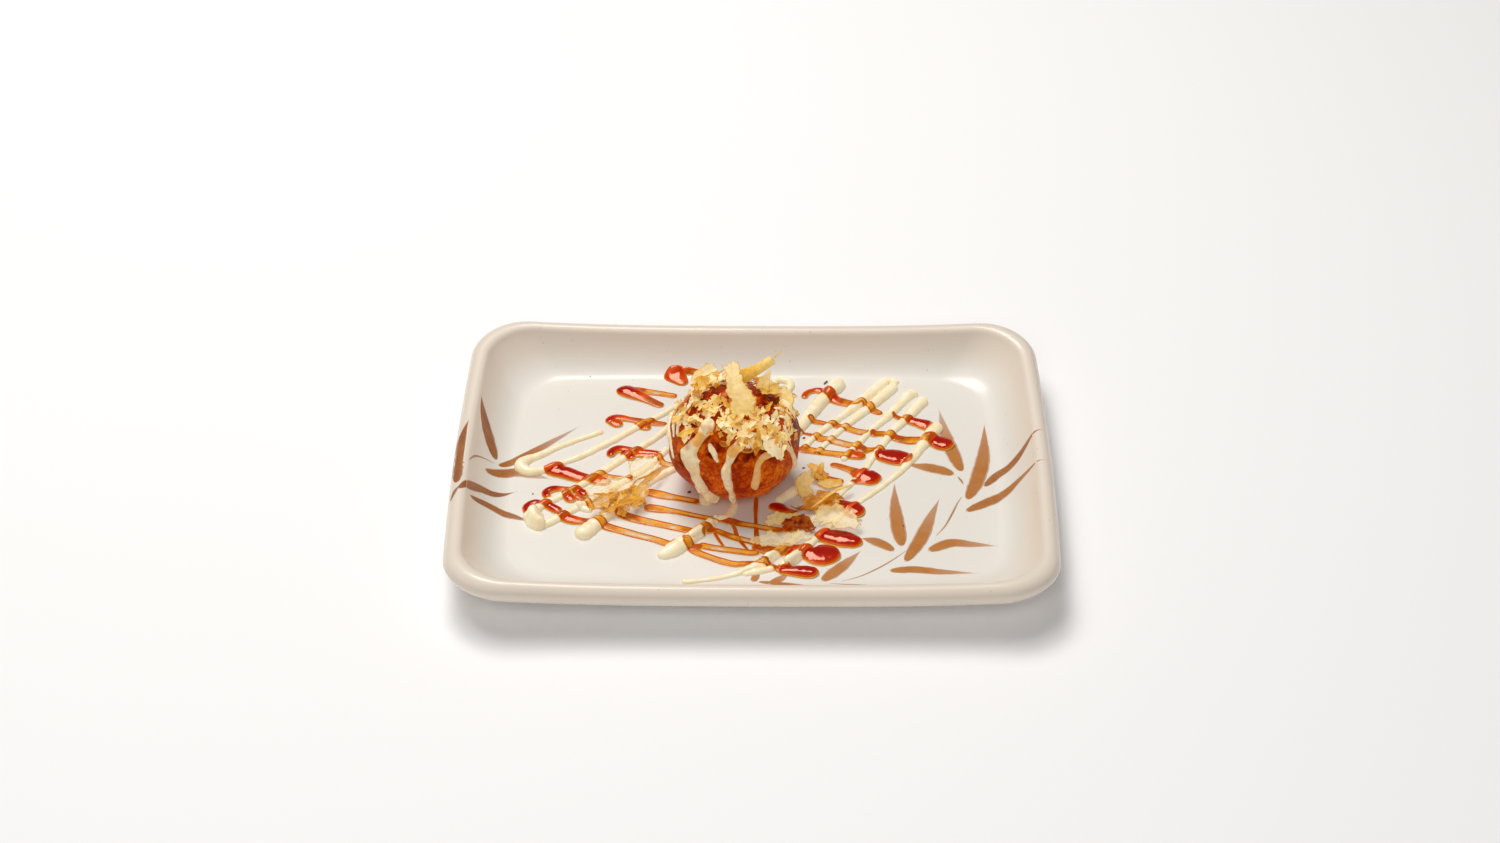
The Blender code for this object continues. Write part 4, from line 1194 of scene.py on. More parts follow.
# Where two of the drips run on over the plate: x, y, width and thickness
DRIP_FEET = {
    "left": [(-17.0, -9.8, 4.2, 2.6), (-16.4, -13.0, 4.8, 3.2), (-15.4, -15.8, 5.4, 3.2)],
    "front": [
        (-6.8, -12.0, 2.2, 1.2), (-6.4, -16.6, 2.6, 1.1), (-8.0, -20.6, 2.8, 1.0),
        (-10.2, -22.6, 3.0, 1.0), (-13.6, -23.4, 2.4, 0.9)],
}

# Thin threads down the ball's left side, and short daubs on it
THREADS = [
    [(127, 49, 1.6, 0.7), (139, 54, 1.6, 0.7), (153, 62, 1.8, 0.8), (162, 70, 1.8, 0.8),
     (173, 74, 1.9, 0.8), (190, 78, 1.8, 0.8), (200, 83, 1.6, 0.7), (208, 90, 1.3, 0.5)],
    [(125, 46, 1.8, 0.7), (137, 40, 2.0, 0.8), (149, 38, 2.4, 0.9), (165, 39, 2.4, 0.8),
     (177, 42, 2.0, 0.8), (187, 51, 1.6, 0.7), (196, 58, 1.3, 0.6), (203, 66, 1.0, 0.5)],
    [(172, 52, 1.4, 0.6), (182, 58, 1.6, 0.6), (191, 64, 1.4, 0.6), (199, 72, 1.1, 0.5)],
    [(-116, 53, 1.2, 0.5), (-113, 57, 2.4, 0.7), (-109, 62, 2.4, 0.7), (-107, 67, 1.5, 0.5),
     (-104, 71, 0.9, 0.4)],
    [(-20, 52, 1.2, 0.5), (-16, 60, 1.5, 0.6), (-13, 67, 1.2, 0.5), (-8, 71, 0.8, 0.4)],
]

THREAD_STAIN = 0.25

# Small wet drops of sauce under the flakes
SAUCE_STREAKS = [
    [(-106, 50, 1.6, 0.5), (-100, 51, 2.2, 0.6), (-94, 50, 1.6, 0.5)],
    [(-84, 55, 1.6, 0.5), (-78, 57, 2.4, 0.6), (-71, 58, 1.8, 0.5)],
]


def ball_outward(point):
    return outward_at(Vector(point) - BALL_CENTRE)


def clinging_mound(route, skin, columns, spacing, roughen, seed):
    """A mound of soft food down the ball's skin, rounded at both ends.

    Returns points, faces and, for each point, how near it is to the mound's crown.
    """
    rows = []
    for azimuth, polar, width, thickness in spline(route):
        spot = ball_point(math.radians(azimuth), math.radians(polar))[0]
        rows.append(Vector((*spot, width, thickness)))
    length = route_length(rows, 3)
    places, tapers = rounded_places(length, route[0][2] / 2, route[-1][2] / 2, spacing)
    stations = resample(rows, places, 3)
    top, bottom, crown = [], [], []
    for i, station in enumerate(stations):
        centre = Vector(station[:3])
        ahead = Vector(stations[min(i + 1, len(stations) - 1)][:3])
        ahead = ahead - Vector(stations[max(i - 1, 0)][:3])
        across = ball_outward(centre).cross(ahead).normalized()
        swell = 1 + roughen * wander((*centre[:2], centre.z + seed), 4.0, 3)
        sway = 0.5 * roughen * station[3] * wander((*centre[:2], centre.z + seed), 6.0, 5)
        for j in range(columns):
            v = -math.cos(math.pi * j / (columns - 1))
            side = v * station[3] / 2 * tapers[i] * swell + sway
            spot = skin.find_nearest(centre + across * side)[0]
            outward = ball_outward(spot)
            plump = bead(v, fullness=2.6, roundness=0.6)
            fold = 1 + 2.2 * roughen * wander((side, i * spacing, seed), 1.9, 4)
            rise = station[4] * plump * tapers[i] ** 0.7 * swell * fold
            top.append(keep_above(spot + outward * rise))
            bottom.append(keep_above(spot - outward * 0.15))
            crown.append(plump)
    vertices, faces = shell(top, bottom, len(stations), columns)
    return vertices, faces, crown * 2


def keep_above(point, floor=BALL_FLAT - 0.1):
    point.z = max(point.z, floor)
    return point


def stain_and_shade_amount(point):
    here = Vector(point) - BALL_CENTRE
    here = Vector((here.x / BALL_RADIUS, here.y / BALL_RADIUS, here.z / BALL_HALF_HEIGHT))
    # the patches paint a tan shade over the drips; the STAINS spots are real sauce stains
    patches = 0.20 + 0.20 * wander(point, 2.6, 4)
    return max(patches, 0.9 * max(spot_amount(here.normalized(), *spot) for spot in STAINS))


def make_drips(ball, ground, mayonnaise, sauce):
    skin = BVHTree.FromPolygons([v.co / MM for v in ball.data.vertices],
                                [tuple(p.vertices) for p in ball.data.polygons])
    for seed, (name, (stain, route)) in enumerate(DRIPS.items()):
        parts = [clinging_mound(route, skin, 21, 0.45, 0.18, seed + 2.5)]
        if name in DRIP_FEET:
            parts.append(laid_mound(DRIP_FEET[name], ground, daub_rise, 15, 0.5, unstained,
                                    seed=seed + 30))
        vertices, faces, _ = merge(parts)
        piece = make_piece("mayonnaise_drip_" + name + "_run", vertices, faces, mayonnaise,
                           {"stain": [max(stain, stain_and_shade_amount(v)) for v in vertices]})
        keep(piece, "mayonnaise", "mayonnaise_drip_" + name)
    vertices, faces, _ = merge(
        clinging_mound(route, skin, 9, 0.5, 0.22, 9 + k) for k, route in enumerate(THREADS))
    piece = make_piece("mayonnaise_threads", vertices, faces, mayonnaise,
                       {"stain": [THREAD_STAIN] * len(vertices)})
    keep(piece, "mayonnaise")
    vertices, faces, crown = merge(
        clinging_mound(route, skin, 11, 0.5, 0.2, 20 + k) for k, route in enumerate(SAUCE_STREAKS))
    piece = make_piece("sauce_streaks", vertices, faces, sauce,
                       {"depth": [0.04 + 0.30 * c for c in crown]})
    keep(piece, "sauce")


# --- flakes ----------------------------------------------------------------------------------

# Where shreds lie on the ball: azimuth, angle from the top, reach in degrees, and how thickly
SHRED_SPOTS = [
    (-175, 38, 13, 0.5), (-145, 33, 13, 0.6), (-137, 21, 12, 0.9), (-120, 36, 9, 0.45),
    (-82, 54, 6, 0.6), (-20, 72, 5, 0.5), (-55, 56, 8, 0.7),
    (-95, 30, 13, 1.0), (-80, 40, 12, 1.0), (-66, 46, 10, 0.9), (-52, 36, 14, 1.0),
    (-35, 46, 12, 1.0), (-32, 58, 10, 1.0), (-48, 62, 7, 0.8), (-12, 46, 10, 0.8),
    (6, 50, 9, 0.7), (30, 40, 14, 0.9), (55, 44, 14, 0.8), (-100, 42, 9, 0.7),
    (120, 30, 15, 1.0), (145, 32, 12, 0.9), (95, 40, 12, 0.6), (-60, 20, 12, 0.7),
    (160, 36, 8, 0.5), (-160, 50, 10, 0.6), (-146, 52, 7, 0.6), (178, 54, 8, 0.5),
]
# ... and where the glaze shows bare between them
BARE_SPOTS = [(157, 17, 12), (63, 31, 7), (4, 31, 12), (-110, 48, 5), (-127, 39, 8)]


def spot_amount(here, azimuth, polar, reach):
    """1 in the middle of a spot on the ball, falling to 0 past its reach, in degrees."""
    spot = direction(math.radians(azimuth), math.radians(polar))
    return 1 - smooth_step(0.6, 1.25, math.degrees(here.angle(spot)) / reach)


def shred_cover(azimuth, polar):
    """How thickly shreds lie at a place on the ball, from 0 to 1."""
    here = direction(azimuth, polar)
    cover = max(spot_amount(here, *spot[:3]) * spot[3] for spot in SHRED_SPOTS)
    bare = max(spot_amount(here, *spot) for spot in BARE_SPOTS)
    return cover * (1 - bare)


SHARP = math.radians(50)            # a shred's faces meeting at more than this show an edge
SHRED_KINDS = 14
SHRED_LIMIT = math.radians(74)      # no shred starts lower on the ball than this


def make_shred(seed):
    """One small curled shaving of a few dozen faces, lying flat about its middle."""
    draw = random.Random(seed)
    length, width = draw.uniform(3.0, 7.5), draw.uniform(0.8, 2.6)
    bend, twist, cup = draw.uniform(-2.4, 2.4), draw.uniform(-1.8, 1.8), draw.uniform(0.1, 0.5)
    pointed = draw.uniform(1.2, 2.8)
    rows, columns, thickness = 8, 4, 0.09
    top, bottom = [], []
    for i in range(rows):
        t = i / (rows - 1) - 0.5
        middle = Vector((length * math.sin(bend * t) / bend, 0.0,
                         length * (1 - math.cos(bend * t)) / bend))
        ahead = Vector((math.cos(bend * t), 0.0, math.sin(bend * t)))
        turn = twist * t
        up = Vector((-ahead.z, 0.0, ahead.x))
        across = Vector((0, 1, 0)) * math.cos(turn) + up * math.sin(turn)
        out = ahead.cross(across)
        narrow = max(1 - abs(2 * t) ** pointed, 0.03) ** 0.6
        left, right = (narrow * width / 2 * draw.uniform(0.25, 1.45) for _ in range(2))
        for j in range(columns):
            u = -left + (left + right) * j / (columns - 1)
            spot = middle + across * u + out * cup * (2 * u / width) ** 2
            top.append(spot + out * thickness / 2)
            bottom.append(spot - out * thickness / 2)
    vertices, faces = shell(top, bottom, rows, columns)
    shred = make_piece(f"shred_{seed}", vertices, faces, None)
    shred.data.set_sharp_from_angle(angle=SHARP)
    return shred


def scatter_tree(shreds, material):
    """Geometry Nodes that strew the collection's shreds over a mesh by its cover attribute."""
    tree = bpy.data.node_groups.new("strewn_shreds", "GeometryNodeTree")
    face = tree.interface
    face.new_socket(name="Geometry", in_out="INPUT", socket_type="NodeSocketGeometry")
    named = {}
    for name, kind in (("Density", "Float"), ("Seed", "Int"), ("Smallest", "Float"),
                       ("Largest", "Float"), ("Tilt", "Float"), ("Lift", "Float")):
        named[name] = face.new_socket(name=name, in_out="INPUT", socket_type="NodeSocket" + kind)
    face.new_socket(name="Geometry", in_out="OUTPUT", socket_type="NodeSocketGeometry")
    nodes, links = tree.nodes, tree.links

    def feed(socket, value):
        if isinstance(value, bpy.types.NodeSocket):
            links.new(value, socket)
        else:
            socket.default_value = value

    def add(kind, settings=None, **sockets):
        made = nodes.new(kind)
        for key, value in (settings or {}).items():
            setattr(made, key, value)
        for key, value in sockets.items():
            feed(made.inputs[key.replace("_", " ")], value)
        return made

    def random_value(kind, low, high, seed):
        made = add("FunctionNodeRandomValue", {"data_type": kind})
        offset = {"FLOAT": 2, "FLOAT_VECTOR": 0, "INT": 4}[kind]
        feed(made.inputs[offset], low)
        feed(made.inputs[offset + 1], high)
        shifted = add("ShaderNodeMath", {"operation": "ADD"})
        links.new(entry.outputs["Seed"], shifted.inputs[0])
        shifted.inputs[1].default_value = seed
        links.new(shifted.outputs[0], made.inputs["Seed"])
        return made.outputs[{"FLOAT": 1, "FLOAT_VECTOR": 0, "INT": 2}[kind]]

    def times(a, b):
        made = add("ShaderNodeMath", {"operation": "MULTIPLY"})
        links.new(a, made.inputs[0])
        links.new(b, made.inputs[1])
        return made.outputs[0]

    entry = nodes.new("NodeGroupInput")
    leave = nodes.new("NodeGroupOutput")
    cover = add("GeometryNodeInputNamedAttribute", {"data_type": "FLOAT"}, Name="cover")
    density = times(entry.outputs["Density"], cover.outputs[0])
    points = add("GeometryNodeDistributePointsOnFaces", {"distribute_method": "RANDOM"},
                 Mesh=entry.outputs["Geometry"], Seed=entry.outputs["Seed"])
    links.new(density, next(i for i in points.inputs if i.name == "Density" and i.enabled))
    lift = random_value("FLOAT", 0.0, entry.outputs["Lift"], 1)
    rise = add("ShaderNodeVectorMath", {"operation": "SCALE"})
    links.new(points.outputs["Normal"], rise.inputs[0])
    links.new(lift, rise.inputs["Scale"])
    lifted = add("GeometryNodeSetPosition", Geometry=points.outputs["Points"],
                 Offset=rise.outputs[0])
    tilt = random_value("FLOAT_VECTOR", (-1.0, -1.0, -math.pi), (1.0, 1.0, math.pi), 2)
    scale = add("ShaderNodeCombineXYZ", X=entry.outputs["Tilt"], Y=entry.outputs["Tilt"], Z=1.0)
    turn = add("ShaderNodeVectorMath", {"operation": "MULTIPLY"})
    links.new(tilt, turn.inputs[0])
    links.new(scale.outputs[0], turn.inputs[1])
    turned = add("FunctionNodeRotateRotation", {"rotation_space": "LOCAL"},
                 Rotation=points.outputs["Rotation"])
    euler = add("FunctionNodeEulerToRotation", Euler=turn.outputs[0])
    links.new(euler.outputs[0], turned.inputs["Rotate By"])
    source = add("GeometryNodeCollectionInfo", Collection=shreds, Separate_Children=True,
                 Reset_Children=True)
    size = random_value("FLOAT", entry.outputs["Smallest"], entry.outputs["Largest"], 3)
    placed = add("GeometryNodeInstanceOnPoints", Points=lifted.outputs[0],
                 Instance=source.outputs[0], Pick_Instance=True, Rotation=turned.outputs[0],
                 Scale=size)
    tone = random_value("FLOAT", 0.0, 1.0, 4)
    toned = add("GeometryNodeStoreNamedAttribute", {"data_type": "FLOAT", "domain": "INSTANCE"},
                Geometry=placed.outputs[0], Name="chance")
    links.new(tone, next(i for i in toned.inputs if i.name == "Value" and i.enabled))
    real = add("GeometryNodeRealizeInstances", Geometry=toned.outputs[0])
    coated = add("GeometryNodeSetMaterial", Geometry=real.outputs[0], Material=material)
    links.new(coated.outputs[0], leave.inputs[0])
    return tree, {name: socket.identifier for name, socket in named.items()}


class Shreds:
    """A collection of shavings and the node tree that strews them."""

    def __init__(self, material):
        self.material = material
        self.collection = bpy.data.collections.new("shreds")
        for seed in range(SHRED_KINDS):
            shred = make_shred(seed)
            bpy.context.scene.collection.objects.unlink(shred)
            self.collection.objects.link(shred)
        self.tree, self.sockets = scatter_tree(self.collection, material)

    def strew(self, name, carrier, tone_low, tone_high, **settings):
        """The carrier with shreds strewn on it, as one mesh; the carrier is used up."""
        modifier = carrier.modifiers.new("strewn", "NODES")
        modifier.node_group = self.tree
        for key, value in settings.items():
            modifier[self.sockets[key]] = value
        bpy.context.view_layer.update()
        graph = bpy.context.evaluated_depsgraph_get()
        mesh = bpy.data.meshes.new_from_object(
            carrier.evaluated_get(graph), preserve_all_data_layers=True, depsgraph=graph)
        mesh.name = name
        bpy.data.objects.remove(carrier)
        count = len(mesh.vertices)
        chance, soak = [0.0] * count, [0.0] * count
        mesh.attributes["chance"].data.foreach_get("value", chance)
        if "soak" in mesh.attributes:
            mesh.attributes["soak"].data.foreach_get("value", soak)
        tone = [tone_low + (tone_high - tone_low) * c ** 1.5 for c in chance]
        soak = [max(k * (0.35 + 1.1 * (1 - c)), 0.0) for k, c in zip(soak, chance)]
        for layer in list(mesh.attributes):
            if layer.name in ("chance", "cover", "soak"):
                mesh.attributes.remove(mesh.attributes[layer.name])
        for key, numbers in (("tone", tone), ("soak", soak)):
            mesh.attributes.new(key, "FLOAT", "POINT").data.foreach_set("value", numbers)
        piece = bpy.data.objects.new(name, mesh)
        bpy.context.scene.collection.objects.link(piece)
        return piece

    def discard(self):
        for shred in list(self.collection.objects):
            bpy.data.objects.remove(shred)
        bpy.data.collections.remove(self.collection)
        bpy.data.node_groups.remove(self.tree)


def ball_carrier():
    """The part of the ball's skin that shreds can lie on, with how thickly they do."""
    rows, columns = 40, 120
    vertices, cover, soak = [], [], []
    for i in range(1, rows + 1):
        polar = SHRED_LIMIT * i / rows
        for j in range(columns):
            azimuth = 2 * math.pi * j / columns
            vertices.append(ball_point(azimuth, polar)[0])
            amount = shred_cover(azimuth, polar)
            cover.append(amount)
            soak.append(0.55 * smooth_step(0.75, 0.2, amount) + 0.1)
    faces = [face[::-1] for face in grid_faces(rows, columns, closed=True)]
    return make_piece("carrier", vertices, faces, None, {"cover": cover, "soak": soak})


# Heaps of soaked shreds on the plate: node, centre, half axes, direction, soak
HEAPS = {
    "bonito_flakes_left": ((-44.5, -15.0), (9.5, 6.0), 52, 0.60),
    "bonito_flakes_right": ((24.5, -14.0), (8.6, 4.6), 28, 0.70),
}


def heap_carrier(centre, axes, direction, wet, ground):
    rings, spokes = 10, 36
    turn = math.radians(direction)
    vertices, cover, soak = [], [], []
    for i in range(1, rings + 1):
        for j in range(spokes):
            angle = 2 * math.pi * j / spokes
            a, b = axes[0] * i / rings * math.cos(angle), axes[1] * i / rings * math.sin(angle)
            x = centre[0] + a * math.cos(turn) - b * math.sin(turn)
            y = centre[1] + a * math.sin(turn) + b * math.cos(turn)
            vertices.append((x, y, ground.height(x, y) + 0.5))
            cover.append(1 - 0.8 * (i / rings) ** 2)
            soak.append(wet)
    faces = [face[::-1] for face in grid_faces(rings, spokes, closed=True)]
    return make_piece("carrier", vertices, faces, None, {"cover": cover, "soak": soak})


# Large flakes: the frame's node; tone at each end, soak, sheerness, how ragged; then x, y, z,
# width, tilt and curl in degrees along each
SHEETS = {
    "bonito_flake_pale": ((0.26, 0.12), 0.0, 0.28, 0.13, [
        (-2.6, -13.6, 43.2, 9.6, 0, 50), (-3.6, -10.4, 45.6, 9.8, 2, 54), (-5.0, -6.4, 47.4, 8.0, -2, 60),
        (-6.4, -2.0, 48.9, 6.4, -8, 60), (-7.4, 2.4, 50.2, 6.0, 2, 50), (-8.0, 5.4, 51.4, 6.0, 8, 36)]),
    "bonito_flake_rolled": ((0.70, 0.30), 0.0, 0.0, 0.05, [
        (-4.4, 1.8, 47.2, 11.6, 130, 250), (-1.6, 2.4, 48.4, 11.0, 130, 280),
        (1.8, 3.8, 49.6, 9.8, 130, 290), (4.9, 5.6, 50.7, 8.6, 130, 290),
        (7.4, 7.4, 51.4, 7.8, 130, 270)]),
    "bonito_flake_pointed": ((0.30, 0.16), 0.0, 0.25, 0.08, [
        (3.4, -0.6, 44.6, 5.4, 0, 40), (4.3, 0.8, 47.2, 4.0, 0, 40), (5.2, 1.8, 49.4, 2.0, 0, 30),
        (5.9, 2.6, 50.8, 0.7, 0, 20)]),
    "bonito_flake_back_edge": ((0.24, 0.06), 0.0, 0.30, 0.20, [
        (-20.4, 8.0, 41.4, 2.6, 20, 60), (-18.6, 9.6, 43.2, 4.2, 10, 70),
        (-16.0, 10.6, 44.7, 4.4, -12, 70), (-13.0, 11.2, 46.0, 2.8, -20, 40)]),
    "bonito_flake_golden": ((0.46, 0.30), 0.0, 0.42, 0.20, [
        (17.6, -13.4, 7.2, 3.4, -20, 30), (17.8, -11.4, 8.6, 6.4, -16, 36),
        (18.6, -9.0, 10.4, 6.8, -12, 40), (19.4, -7.4, 12.2, 5.6, -8, 36),
        (19.8, -6.6, 13.3, 4.4, -6, 30)]),
    "bonito_flake_ragged": ((0.16, 0.04), 0.0, 0.64, 0.26, [
        (21.6, -26.2, 7.4, 4.4, 0, 30), (25.2, -25.4, 8.8, 7.2, -4, 50),
        (29.4, -27.0, 9.4, 8.4, 0, 44), (33.4, -28.6, 9.0, 6.6, 4, 30),
        (36.6, -30.0, 8.4, 3.2, 0, 20)]),
    "bonito_flake_flat": ((0.04, 0.00), 0.0, 0.78, 0.16, [
        (-41.2, -3.6, 7.6, 6.4, 0, 16), (-39.4, -0.2, 8.0, 9.0, 0, 18),
        (-37.2, 3.6, 8.2, 9.4, 0, 16), (-34.8, 7.0, 8.2, 6.0, 0, 12)]),
}

# Smaller flakes with no node of their own, in the same order
SMALL_SHEETS = [
    # thin and translucent over the strands at the left
    ((0.04, 0.04), 0.0, 0.76, 0.16, [
        (-58.0, -12.0, 7.6, 3.4, 0, 20), (-53, -9.6, 7.8, 6.0, 0, 22), (-47.6, -8.6, 8.2, 7.2, 0, 20),
        (-42.6, -7.2, 8.4, 5.0, 0, 20)]),
    ((0.40, 0.76), 0.25, 0.62, 0.28, [
        (-36.6, -8.6, 8.6, 3.0, 10, 60), (-38.4, -13.0, 9.4, 5.4, 0, 70),
        (-41.8, -17.2, 9.2, 6.0, -10, 60), (-46.0, -21.6, 8.4, 4.0, 0, 40)]),
    ((0.50, 0.74), 0.30, 0.60, 0.28, [
        (-47.0, -14.2, 8.4, 2.6, 0, 50), (-51.6, -17.6, 8.6, 4.2, 0, 60), (-56.0, -21.6, 8.2, 2.6, 0, 40)]),
    # their dark curled edge, and two golden curls beside it
    ((0.86, 0.92), 0.55, 0.0, 0.20, [
        (-33.3, 0.3, 8.4, 0.4, 30, 60), (-37.6, -3.9, 8.7, 0.8, 20, 60), (-40.7, -6.1, 8.8, 0.6, 20, 60),
        (-42.7, -10.3, 8.6, 0.9, 0, 60), (-47.0, -13.4, 8.5, 0.7, 0, 60), (-56.0, -12.8, 8.0, 0.4, 0, 60)]),
    ((0.60, 0.50), 0.25, 0.40, 0.30, [
        (-30.6, 2.0, 8.6, 0.8, 20, 90), (-34.0, -2.6, 9.4, 2.0, 40, 120), (-37.4, -7.4, 9.6, 1.8, 30, 120),
        (-40.8, -11.6, 9.2, 0.8, 20, 90)]),
    ((0.74, 0.62), 0.40, 0.40, 0.30, [
        (-38.4, -16.8, 9.0, 0.9, 10, 90), (-42.6, -19.6, 9.8, 2.2, 0, 120),
        (-47.8, -21.4, 9.4, 2.0, -20, 110), (-53.0, -24.0, 8.2, 0.8, 0, 60)]),
    # golden and spiky beside the golden one
    ((0.50, 0.72), 0.10, 0.30, 0.16, [
        (19.8, 3.6, 8.6, 1.4, 0, 40), (21.6, 1.2, 8.8, 3.8, 8, 60), (23.6, -1.2, 8.0, 4.6, 0, 60),
        (26.4, -2.6, 7.4, 2.8, 0, 40)]),
    ((0.52, 0.78), 0.0, 0.20, 0.14, [
        (24.9, 3.2, 9.6, 0.7, 0, 30), (24.2, 1.0, 9.4, 2.2, 0, 50), (23.4, -1.6, 8.0, 3.0, 0, 40)]),
    # soaked red-brown sheets under the right heap
    ((0.66, 0.80), 0.66, 0.12, 0.26, [
        (18.4, -19.8, 7.0, 4.0, 0, 30), (21.8, -16.6, 7.8, 6.6, 0, 40), (26.6, -15.4, 8.0, 7.2, 6, 40),
        (30.6, -16.8, 7.6, 4.6, 0, 30)]),
    ((0.90, 0.90), 1.0, 0.10, 0.20, [
        (10.8, -28.8, 7.0, 3.0, 0, 30), (14.2, -27.6, 7.8, 6.0, 0, 50), (18.0, -28.4, 7.6, 5.4, 0, 40),
        (21, -30, 7.0, 3.0, 0, 20)]),
    ((0.40, 0.40), 0.25, 0.40, 0.12, [
        (23.2, -3.8, 6.8, 2.6, 0, 20), (27.2, -5.4, 7.0, 3.8, 0, 20), (31.4, -4.0, 6.8, 2.4, 0, 20)]),
    # pale frayed ones in front
    ((0.14, 0.34), 0.0, 0.50, 0.28, [
        (4.8, -24.8, 7.0, 2.6, 0, 30), (7.6, -25.6, 7.6, 5.4, 0, 40), (12.4, -23.6, 7.6, 3.0, 0, 30),
        (16.0, -22.2, 7.2, 1.6, 0, 20)]),
    ((0.12, 0.06), 0.0, 0.70, 0.30, [
        (-0.6, -35.6, 6.8, 2.2, 0, 20), (4.0, -36.0, 7.2, 4.4, 0, 30), (9.6, -36.2, 7.2, 4.2, 0, 30),
        (15.0, -35.4, 7.6, 4.0, 0, 30), (20.4, -33.8, 7.4, 2.4, 0, 20)]),
    # long soaked one standing along the right heap
    ((0.55, 0.45), 0.10, 0.0, 0.12, [
        (20.4, -20.6, 8.4, 0.9, 30, 30), (24.4, -17.4, 9.6, 1.6, 30, 40), (29.2, -12.4, 9.6, 1.5, 20, 40),
        (34.4, -8.0, 8.6, 0.8, 20, 30)]),
    # on the ball: the flap at its right, and the white one hanging at its front
    ((0.30, 0.60), 0.1, 0.25, 0.14, [
        (8.6, -5.0, 38.8, 3.4, 20, 40), (11.2, -6.0, 37.0, 4.0, 25, 50), (13.0, -7.2, 34.0, 2.6, 30, 40)]),
    ((0.00, 0.00), 0.0, 0.10, 0.30, [
        (4.0, -19.2, 37.6, 2.4, 0, 40), (6.0, -20.8, 36.0, 6.0, 0, 60), (8.2, -21.8, 33.8, 7.4, 0, 60),
        (10.4, -21.6, 31.4, 3.0, 0, 40)]),
    ((0.04, 0.10), 0.0, 0.20, 0.24, [
        (11.4, -18.0, 34.6, 1.4, 0, 40), (10.2, -20.0, 32.6, 3.0, 0, 60), (9.4, -21.8, 30.6, 1.6, 0, 40)]),
    ((0.16, 0.24), 0.0, 0.35, 0.10, [
        (9.2, 3.2, 42.2, 4.6, 0, 30), (11.4, 0.4, 40.8, 5.4, 10, 36), (11.0, -3.2, 39.6, 4.4, 14, 40)]),
    ((0.56, 0.40), 0.0, 0.0, 0.14, [
        (2.8, -0.6, 44.0, 3.6, 0, 60), (5.8, 0.6, 43.4, 4.6, 0, 70), (9.4, 2.4, 42.2, 4.0, 0, 60)]),
    # a hair-thin wisp past the rolled one
    ((0.60, 0.60), 0.0, 0.0, 0.05, [
        (7.4, 8.4, 52.0, 0.5, 0, 10), (8.8, 10.0, 52.4, 0.35, 0, 10), (10.0, 11.4, 52.8, 0.25, 0, 10)]),
]


SHEET_THICKNESS = 0.14
FRAYED_SHARE = 0.16                 # share of the length that frays, at each end
CLEARANCE = 0.2                     # least gap between a shaving and what lies under it


def make_sheet(recipe, seed, ground, columns=13, spacing=0.45):
    """A thin, curled and frayed shaving about a centre line, as a closed sheet.

    The recipe is one entry of SHEETS or SMALL_SHEETS. Returns points, faces and a list of
    numbers for each attribute of the finish.
    """
    tones, soak, sheer, ragged, stations = recipe
    dense = spline(stations)
    length = route_length(dense, 3)
    count = max(int(length / spacing), 6)
    rows = resample(dense, [length * k / count for k in range(count + 1)], 3)
    wrinkle = 0.46 * (1 - 0.90 * sheer)
    top, bottom, edges, alongs = [], [], [], []
    for i, row in enumerate(rows):
        t = i / count
        centre, width, curl = Vector(row[:3]), row[3], math.radians(row[5])
        ahead = Vector(rows[min(i + 1, count)][:3]) - Vector(rows[max(i - 1, 0)][:3])
        ahead.normalize()
        side = ahead.cross(Vector((0, -0.35, 1))).normalized()
        up = side.cross(ahead)
        tilt = math.radians(row[4])
        side, up = (side * math.cos(tilt) + up * math.sin(tilt),
                    up * math.cos(tilt) - side * math.sin(tilt))
        past_end = max(FRAYED_SHARE - t, 0) + max(t - (1 - FRAYED_SHARE), 0)
        fray = ragged * width * past_end / FRAYED_SHARE
        for j in range(columns):
            v = 2 * j / (columns - 1) - 1
            here = (centre.x, centre.y, centre.z + 9 * math.copysign(1, v))
            edge = 1 + ragged * (1.8 * wander(here, 3.6, seed) + 0.9 * wander(here, 1.0, seed + 1))
            u = v * width / 2 * edge
            turn = u * curl / width
            arc = math.sin(turn) / curl * width if curl else u
            bow = (1 - math.cos(turn)) / curl * width if curl else 0.0
            crease = wrinkle * wander((u, 0.5 * t * length, seed), 2.4, seed + 2)
            crease *= min(width / 4, 1.0)
            along = fray * (wander((4 * v, seed, t), 1.0, 5) + 0.7 * wander((9 * v, seed, t), 1.0, 6))
            spot = centre + side * arc + up * (bow + crease) + ahead * along
            out = up * math.cos(turn) - side * math.sin(turn)
            spot.z = max(spot.z, ground.height(spot.x, spot.y) + CLEARANCE)
            top.append(spot + out * SHEET_THICKNESS / 2)
            bottom.append(spot - out * SHEET_THICKNESS / 2)
            edges.append(max(smooth_step(0.6, 1.0, abs(v)), smooth_step(0.9, 1.0, abs(2 * t - 1))))
            alongs.append(t)
    vertices, faces = shell(top, bottom, count + 1, columns)
    return vertices, faces, sheet_values(edges * 2, alongs * 2, tones, soak, sheer)


def sheet_values(edges, alongs, tones, soak, sheer):
    """Tone deepening at the edges, and sheerness that fades there."""
    tone = [tones[0] + (tones[1] - tones[0]) * t + 0.16 * e for e, t in zip(edges, alongs)]
    return {"tone": tone, "soak": [soak] * len(edges), "rim": [0.8 * e for e in edges],
            "sheer": [sheer * (1 - 0.5 * e) for e in edges]}


